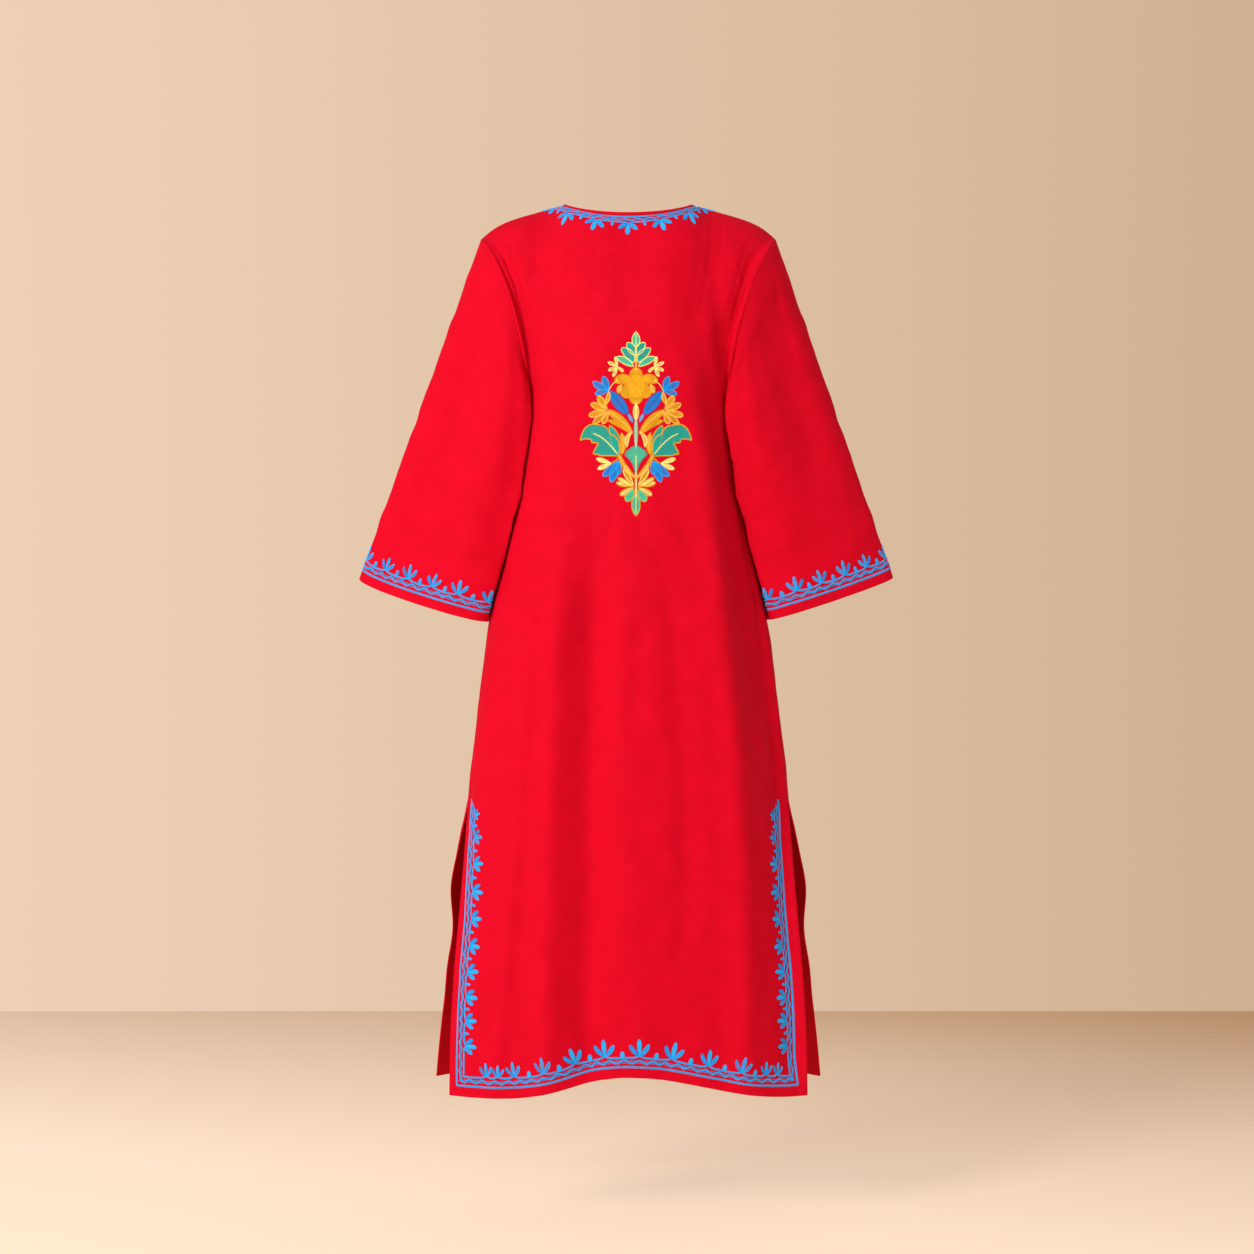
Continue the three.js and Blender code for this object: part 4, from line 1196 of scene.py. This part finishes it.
def chain_stitch_tree():
    """Turns flat lines into rows of chain stitch: a core of yarn, and on it pairs of leaning strands."""
    tree = bpy.data.node_groups.new("chain_stitch", "GeometryNodeTree")
    for way in ("INPUT", "OUTPUT"):
        tree.interface.new_socket("Geometry", in_out=way, socket_type="NodeSocketGeometry")
    for label, size in STITCH_SIZES.items():
        tree.interface.new_socket(label, in_out="INPUT", socket_type="NodeSocketFloat").default_value = size
    tree.interface.new_socket("Yarn", in_out="INPUT", socket_type="NodeSocketMaterial")
    given = tree.nodes.new("NodeGroupInput").outputs
    stitch_length, row_width, row_height = (given[label] for label in list(STITCH_SIZES)[:3])

    def product(a, b):
        return add_node(tree, "ShaderNodeMath", {"operation": "MULTIPLY"}, {0: a, 1: b}).outputs[0]

    def vector(**parts):
        return add_node(tree, "ShaderNodeCombineXYZ", {}, parts).outputs[0]

    def joined(*parts):
        join = tree.nodes.new("GeometryNodeJoinGeometry")
        for part in parts:
            tree.links.new(part, join.inputs[0])
        return join.outputs[0]

    lines = add_node(tree, "GeometryNodeMeshToCurve", {}, {"Mesh": given["Geometry"]})
    rows = add_node(tree, "GeometryNodeResampleCurve", {"mode": "LENGTH"},
                    {"Curve": lines.outputs["Curve"], "Length": stitch_length})
    row = rows.outputs["Curve"]
    thick = add_node(tree, "GeometryNodeInputNamedAttribute", {}, {"Name": "thick"}).outputs["Attribute"]

    grain = add_node(tree, "GeometryNodeMeshUVSphere", {}, {"Segments": 4, "Rings": 2, "Radius": 0.5})
    strand_size = vector(X=product(stitch_length, 1.5), Y=product(row_width, 0.62), Z=row_height)
    strands = []
    for side in (1, -1):
        strand = add_node(tree, "GeometryNodeTransform", {}, {
            "Geometry": grain.outputs["Mesh"],
            "Scale": strand_size,
            "Rotation": vector(Z=product(given["Lean"], side)),
            "Translation": vector(Y=product(row_width, 0.23 * side), Z=product(row_height, 0.3)),
        })
        strands.append(strand.outputs["Geometry"])
    dots = add_node(tree, "GeometryNodeCurveToPoints", {"mode": "EVALUATED"}, {"Curve": row})
    facing = add_node(tree, "FunctionNodeAlignRotationToVector", {"axis": "X", "pivot_axis": "Z"},
                      {"Vector": dots.outputs["Tangent"]})
    links = add_node(tree, "GeometryNodeInstanceOnPoints", {}, {
        "Points": dots.outputs["Points"],
        "Instance": joined(*strands),
        "Rotation": facing.outputs[0],
        "Scale": vector(X=1.0, Y=thick, Z=1.0),
    })
    chance = add_node(tree, "FunctionNodeRandomValue", {"data_type": "FLOAT"}, {"Seed": 7})
    toned = add_node(tree, "GeometryNodeStoreNamedAttribute", {"data_type": "FLOAT", "domain": "INSTANCE"}, {
        "Geometry": links.outputs["Instances"], "Name": "tone", "Value": chance.outputs[1],
    })

    profile = add_node(tree, "GeometryNodeCurvePrimitiveCircle", {}, {"Resolution": 3, "Radius": 0.5})
    flat = add_node(tree, "GeometryNodeTransform", {}, {
        "Geometry": profile.outputs["Curve"],
        "Scale": vector(X=product(row_width, 1.05), Y=product(row_height, 0.7), Z=1.0),
        "Rotation": (0, 0, math.pi / 2),
    })
    core = add_node(tree, "GeometryNodeCurveToMesh", {}, {
        "Curve": row, "Profile Curve": flat.outputs[0], "Scale": thick, "Fill Caps": True,
    })
    both = joined(core.outputs["Mesh"], toned.outputs["Geometry"])
    real = add_node(tree, "GeometryNodeRealizeInstances", {}, {"Geometry": both})
    dressed = add_node(tree, "GeometryNodeSetMaterial", {},
                       {"Geometry": real.outputs[0], "Material": given["Yarn"]})
    add_node(tree, "NodeGroupOutput", {}, {0: dressed.outputs[0]})
    return tree


def set_inputs(modifier, values):
    """Sets a modifier's inputs, given by the names of their sockets."""
    for item in modifier.node_group.interface.items_tree:
        if item.in_out == "INPUT" and item.name in values:
            modifier[item.identifier] = values[item.name]


CHAIN_STITCH = chain_stitch_tree()
YARN = yarn()


def stitched(name, work, lay):
    """Works the rows in chain stitch on the flat, then lays every point on the cloth by the given map from
    flat places and heights to points."""
    mesh = bpy.data.meshes.new(name + "_rows")
    mesh.from_pydata(work.points, work.edges, [])
    threads = mesh.attributes.new("thread", "FLOAT_COLOR", "POINT")
    threads.data.foreach_set("color", np.array(work.colours, np.float32).ravel())
    widths = mesh.attributes.new("thick", "FLOAT", "POINT")
    widths.data.foreach_set("value", np.array(work.widths, np.float32))
    rows = bpy.data.objects.new(name + "_rows", mesh)
    bpy.context.collection.objects.link(rows)
    modifier = rows.modifiers.new("chain_stitch", "NODES")
    modifier.node_group = CHAIN_STITCH
    set_inputs(modifier, {**STITCH_SIZES, "Yarn": YARN})
    evaluated = rows.evaluated_get(bpy.context.evaluated_depsgraph_get())
    made = bpy.data.meshes.new_from_object(evaluated)
    bpy.data.objects.remove(rows)
    flat = np.empty(len(made.vertices) * 3, np.float32)
    made.vertices.foreach_get("co", flat)
    laid = lay(flat.reshape(-1, 3)) * MM
    made.vertices.foreach_set("co", laid.astype(np.float32).ravel())
    made.name = name
    made.materials.clear()
    made.polygons.foreach_set("material_index", np.zeros(len(made.polygons), int))
    made.materials.append(YARN)
    made.update()
    made.shade_smooth()
    piece = bpy.data.objects.new(name, made)
    bpy.context.collection.objects.link(piece)
    return piece


def cloth_tree(grids):
    """A search tree of the right side of some pieces of cloth, in millimetres."""
    points, faces, start = [], [], 0
    for outer, is_tube in grids:
        index, quads = grid_quads(*outer.shape[:2], is_tube)
        points.append(outer.reshape(-1, 3))
        faces.append(quads + start)
        start += index.size
    return BVHTree.FromPolygons(np.concatenate(points).tolist(), np.concatenate(faces).tolist())


def drop_on(tree, points, directions, heights, reach=60):
    """Each point is moved along its direction onto the cloth, then stands its height above it."""
    laid = np.empty_like(points)
    starts = points + directions * reach
    for k in range(len(points)):
        way = Vector(-directions[k])
        hit, _, _, _ = tree.ray_cast(Vector(starts[k]), way, 3 * reach)
        if hit is None:
            hit = tree.find_nearest(Vector(points[k]))[0]
        laid[k] = hit
    return laid + directions * heights[:, None]


def surface_normals(point_at, u, v, outward):
    """The normals of a surface given as a function of two places."""
    across = point_at(u + 0.5, v) - point_at(u - 0.5, v)
    along = point_at(u, v + 0.5) - point_at(u, v - 0.5)
    normal = unit(np.cross(across, along))
    turned = np.einsum("ij,ij->i", normal, outward) < 0
    return np.where(turned[:, None], -normal, normal)


def between(distance, along, values):
    """Points or directions at a distance along a line, worked out from those at the line's own points."""
    return np.stack([np.interp(distance, along, column) for column in values.T], -1)


def run(line):
    """A base line for a border, as points in order: its length, and a function that gives the place at a
    distance along it and a distance to its left."""
    along, left = distances(line), to_left(line)

    def at(distance, out):
        point, side = between(distance, along, line), between(distance, along, left)
        return point + unit(side) * out[:, None]

    return along[-1], at


def merge_runs(name, runs, lay):
    """Lays the needlework of several runs, each with its own map to the flat cloth, as one piece."""
    whole = Needlework()
    for work, at in runs:
        flat = np.array(work.points)
        places = at(flat[:, 0], flat[:, 1])
        start = len(whole.points)
        whole.points += [(x, y, lift) for (x, y), lift in zip(places, flat[:, 2])]
        whole.edges += [(a + start, b + start) for a, b in work.edges]
        whole.colours += work.colours
        whole.widths += work.widths
    return stitched(name, whole, lay)


# How far in from its edge each border's line lies.
BACK_LINE_IN = 15
SLIT_LINE_IN = 13.5
CUFF_LINE_IN = 15
NECK_LINE_IN = BINDING_WIDTH + 1.8
# Border flowers, each as a place along its line and a height. Those of the hem fit a line of this length.
HEM_LENGTH = 505
HEM_FLOWERS = [
    (48, 19), (66, 16), (90, 20), (136, 22), (181, 23), (222, 24), (268, 24), (312, 24), (363, 23), (410, 22),
    (450, 18), (470, 17),
]
SLIT_FLOWERS = [
    (24, 12), (54, 15), (92, 17), (131, 18), (170, 18), (208, 18), (246, 18), (282, 18), (317, 18), (353, 18),
]


def back_place(u, z):
    """A point of the back by its distance over the cloth from the middle, and its height."""
    return skirt_point(BACK, u / half_ring(BACK, z), z)


def back_border(tree):
    """The border along the back's hem and up both its slits."""

    def lay(flat):
        u, z, height = flat.astype(float).T
        outward = np.stack([u / 300, np.ones_like(u), 0 * u], -1)
        return drop_on(tree, back_place(u, z), surface_normals(back_place, u, z, outward), height)

    corner = BACK["hem"][0]
    side = half_ring(BACK, corner)
    u = np.linspace(side - SLIT_LINE_IN, SLIT_LINE_IN - side, 300)
    hem_z = hem_height(BACK, u / side) + BACK_LINE_IN
    hem_length, hem_at = run(np.stack([u, hem_z], 1))
    work = Needlework()
    border(work, hem_length, [(place * hem_length / HEM_LENGTH, height) for place, height in HEM_FLOWERS])
    runs = [(work, lambda s, d: hem_at(s, -d))]
    z = np.linspace(SLIT_Z + 2, corner + BACK_LINE_IN, 200)
    for sign in (1, -1):
        edge = half_ring(BACK, z) - SLIT_LINE_IN
        length, at = run(np.stack([sign * edge, z], 1))
        work = Needlework()
        border(work, length, SLIT_FLOWERS, size=0.9, spread=42, plump=0.37, bud=4.6)
        runs.append((work, lambda s, d, at=at, sign=sign: at(s, d * -sign)))
    return merge_runs("back_border", runs, lay)


BUTA_PLACE = (-11, -332)  # the motif's middle on the back, as x and z


def back_buta(tree):
    """The large motif, which lies on the middle of the back."""

    def lay(flat):
        x, z, height = flat.astype(float).T
        points = np.stack([x + BUTA_PLACE[0], np.full_like(x, 110), z + BUTA_PLACE[1]], -1)
        straight = np.tile([0.0, 1.0, 0.0], (len(points), 1))
        return drop_on(tree, points, straight, height)

    work = Needlework()
    buta(work)
    return stitched("back_buta", work, lay)


NECK_BORDER_MIDDLE = 14  # how far from the neck its border's length is measured
NECK_FLOWER_GAP = 46


def neck_border(tree):
    """The border round the neck, over both shoulder seams."""
    quarters = neck_round(np.linspace(0, math.pi / 2, 60), -1)
    points, normals, aways = np.concatenate([quarters, quarters[:, :1]], axis=1)
    along = distances(points + aways * NECK_BORDER_MIDDLE)
    length = along[-1]

    def lay(flat):
        s, d, height = flat.astype(float).T
        point, normal, away = (between(s % length, along, part) for part in (points, normals, aways))
        over_cloth = point + unit(away) * (NECK_LINE_IN + d)[:, None]
        return drop_on(tree, over_cloth, unit(normal), height, reach=25)

    count = round(length / NECK_FLOWER_GAP)
    spots = [(length * k / count or 0.01, 18) for k in range(count)]
    work = Needlework()
    border(work, length, spots, closed=True, size=0.72, spread=52, plump=0.36)
    return stitched("neck_border", work, lay)


CUFF_CENTRE = np.array([318, 0, -590])  # of the left cuff
CUFF_FLOWER_GAP = 38


def cuff_border(sleeve, tree):
    """The border round a cuff. Its line starts and ends at the underarm seam."""
    turns = np.linspace(-math.pi, math.pi, 241)
    edge = sleeve_point(sleeve, np.ones_like(turns), turns)
    along = distances(edge)
    length = along[-1]
    ruling = np.linalg.norm(sleeve_point(sleeve, np.full_like(turns, 0.9), turns) - edge, axis=1) / 0.1

    def point_at(u, v):
        turn = np.interp(u % length, along, turns)
        s = 1 - v / np.interp(u % length, along, ruling)
        return sleeve_point(sleeve, s, turn)

    def lay(flat):
        u, above_line, height = flat.astype(float).T
        v = above_line + CUFF_LINE_IN
        point = point_at(u, v)
        centre = CUFF_CENTRE * [sleeve["side"], 1, 1]
        normals = surface_normals(point_at, u, v, point - centre)
        return drop_on(tree, point, normals, height, reach=20)

    count = round(length / CUFF_FLOWER_GAP)
    spots = [(length * (k + 0.5) / count, 21 - 2 * (k % 2)) for k in range(count)]
    work = Needlework()
    border(work, length, spots, closed=True, plump=0.25, bud=5.4)
    return stitched(sleeve["name"] + "_border", work, lay)


# ---------------------------------------------------------------- small sewing


def binding():
    """The neck binding: a strip folded over the neck edge, round in section."""
    point, normal, away = neck_round(np.linspace(0, math.pi / 2, 31), 1)
    section = np.linspace(0, 2 * math.pi, 12, endpoint=False)
    c, s = np.cos(section), np.sin(section)
    across = BINDING_WIDTH / 2 * (1 + np.sign(c) * np.abs(c) ** 0.6)
    up = BINDING_THICKNESS / 2 * np.sign(s) * np.abs(s) ** 0.8 - CLOTH / 2
    rows = point[:, None] + away[:, None] * across[None, :, None] + normal[:, None] * up[None, :, None]
    count, width = rows.shape[:2]
    index = np.arange(count * width).reshape(count, width)
    after, beside = np.roll(index, -1, 0), np.roll(index, -1, 1)
    quads = np.stack([index, after, np.roll(after, -1, 1), beside], -1).reshape(-1, 4)
    points = rows.reshape(-1, 3)
    piece = new_mesh("neck_binding_strip", points, quads.tolist())
    along = np.cumsum(np.linalg.norm(rows[:, 0] - np.roll(rows[:, 0], 1, 0), axis=1))
    girth = np.arange(width) * 1.4
    cut = np.stack(np.broadcast_arrays(along[:, None], girth[None]), -1).reshape(-1, 2)
    set_uv(piece.data, cut[quads].reshape(-1, 2))
    if signed_volume(points, quads) < 0:
        piece.data.flip_normals()
    return piece


# ---------------------------------------------------------------- the garment, put together

RIGHT_SIDE = twill("red_twill", RED_LIGHT, RED_DEEP)
WRONG_SIDE = twill("red_twill_wrong_side", RED_WRONG, RED_DEEP, sheen=0.12)
BINDING_CLOTH = twill("red_binding", RED_LIGHT, RED_DEEP, rib_height=0.0001)


def dress(piece, node, materials):
    """Gives a piece its materials, hangs it from the root, and hides the node of the part that it stands for.
    """
    for material in materials:
        piece.data.materials.append(material)
    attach(piece, "root")
    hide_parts(node)
    return piece


grids, cloths = {}, {}
for part, part_grid, is_tube in (
    (BACK, panel_grid, False), (FRONT, panel_grid, False), (LEFT_SLEEVE, sleeve_grid, True),
    (RIGHT_SLEEVE, sleeve_grid, True),
):
    name = part["name"]
    outer, *wall_facts = part_grid(part)
    grids[name] = (outer, is_tube)
    piece = cloth_wall(name + "_cloth", outer, *wall_facts, is_tube)
    cloths[name] = dress(piece, name, [RIGHT_SIDE, WRONG_SIDE])
dress(binding(), "neck_binding", [BINDING_CLOTH])

back_tree = cloth_tree([grids["back_panel"]])
hem_work = back_border(back_tree)
buta_work = back_buta(back_tree)
neck_work = neck_border(cloth_tree([grids["back_panel"], grids["front_panel"]]))
cuff_works = {
    sleeve["name"]: cuff_border(sleeve, cloth_tree([grids[sleeve["name"]]]))
    for sleeve in (LEFT_SLEEVE, RIGHT_SLEEVE)
}
for piece in (hem_work, buta_work, neck_work, *cuff_works.values()):
    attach(piece, "root")

# ---------------------------------------------------------------- studio

FLOOR_Z = -1.492


def studio_floor():
    """A plain pale floor, with painted light and shade in its material, which ends behind the garment, where
    the backdrop begins.
    """
    x, near, far = 6.0, 6.0, -2.1
    points = np.array([(-x, far, FLOOR_Z), (x, far, FLOOR_Z), (x, near, FLOOR_Z), (-x, near, FLOOR_Z)])
    floor = new_mesh("studio_floor", points / MM, [(0, 1, 2, 3)])
    floor.data.materials.append(painted_light_floor())


def backdrop():
    """A plain warm backdrop, which the camera sees, with painted light that makes it lighter on the lit side,
    and soft white light from all round, which falls on the garment."""
    world = bpy.data.worlds.new("studio")
    bpy.context.scene.world = world
    world.use_nodes = True
    tree = world.node_tree
    tree.nodes.clear()
    ways = add_node(tree, "ShaderNodeTexCoord").outputs["Generated"]
    sideways = add_node(tree, "ShaderNodeSeparateXYZ", {}, {0: ways}).outputs["X"]
    # painted light: what the camera sees of the backdrop is lighter towards +x, the side of the key light
    ramp = {"Value": sideways, "From Min": -0.22, "From Max": 0.22}
    lit_share = add_node(tree, "ShaderNodeMapRange", {}, ramp).outputs["Result"]
    painted_light_tones = {0: lit_share, 6: colour(209, 177, 145), 7: colour(238, 209, 183)}
    tone = add_node(tree, "ShaderNodeMix", {"data_type": "RGBA"}, painted_light_tones).outputs[2]
    seen = add_node(tree, "ShaderNodeBackground", {}, {"Color": tone}).outputs[0]
    white = {"Color": (1.0, 0.98, 0.95, 1.0), "Strength": 0.5}
    soft = add_node(tree, "ShaderNodeBackground", {}, white).outputs[0]
    is_seen = add_node(tree, "ShaderNodeLightPath").outputs["Is Camera Ray"]
    either = add_node(tree, "ShaderNodeMixShader", {}, {0: is_seen, 1: soft, 2: seen}).outputs[0]
    add_node(tree, "ShaderNodeOutputWorld", {}, {"Surface": either})


def soft_box(name, place_at, aim, size, power):
    """A square light of a size in metres and a power in watts."""
    lamp = bpy.data.lights.new(name, "AREA")
    lamp.shape, lamp.size, lamp.energy = "SQUARE", size, power
    lit = bpy.data.objects.new(name, lamp)
    bpy.context.collection.objects.link(lit)
    lit.location = place_at
    lit.rotation_euler = (Vector(aim) - Vector(place_at)).to_track_quat("-Z", "Y").to_euler()


def camera():
    """Level with the middle of the garment, four metres behind the wearer."""
    data = bpy.data.cameras.new("camera")
    data.sensor_width = 36
    data.lens = 77.6
    seen = bpy.data.objects.new("camera", data)
    bpy.context.collection.objects.link(seen)
    seen.location = (0.002, 4.0, -0.625)
    seen.rotation_euler = (math.pi / 2, 0, math.pi)
    bpy.context.scene.camera = seen


studio_floor()
backdrop()
soft_box("key", (2.5, 3.1, 1.0), (0, 0, -0.75), 1.3, 135)
soft_box("fill", (-2.8, 3.0, 0.4), (0, 0, -0.7), 2.4, 8)
camera()
bpy.context.scene.view_settings.view_transform = "Standard"
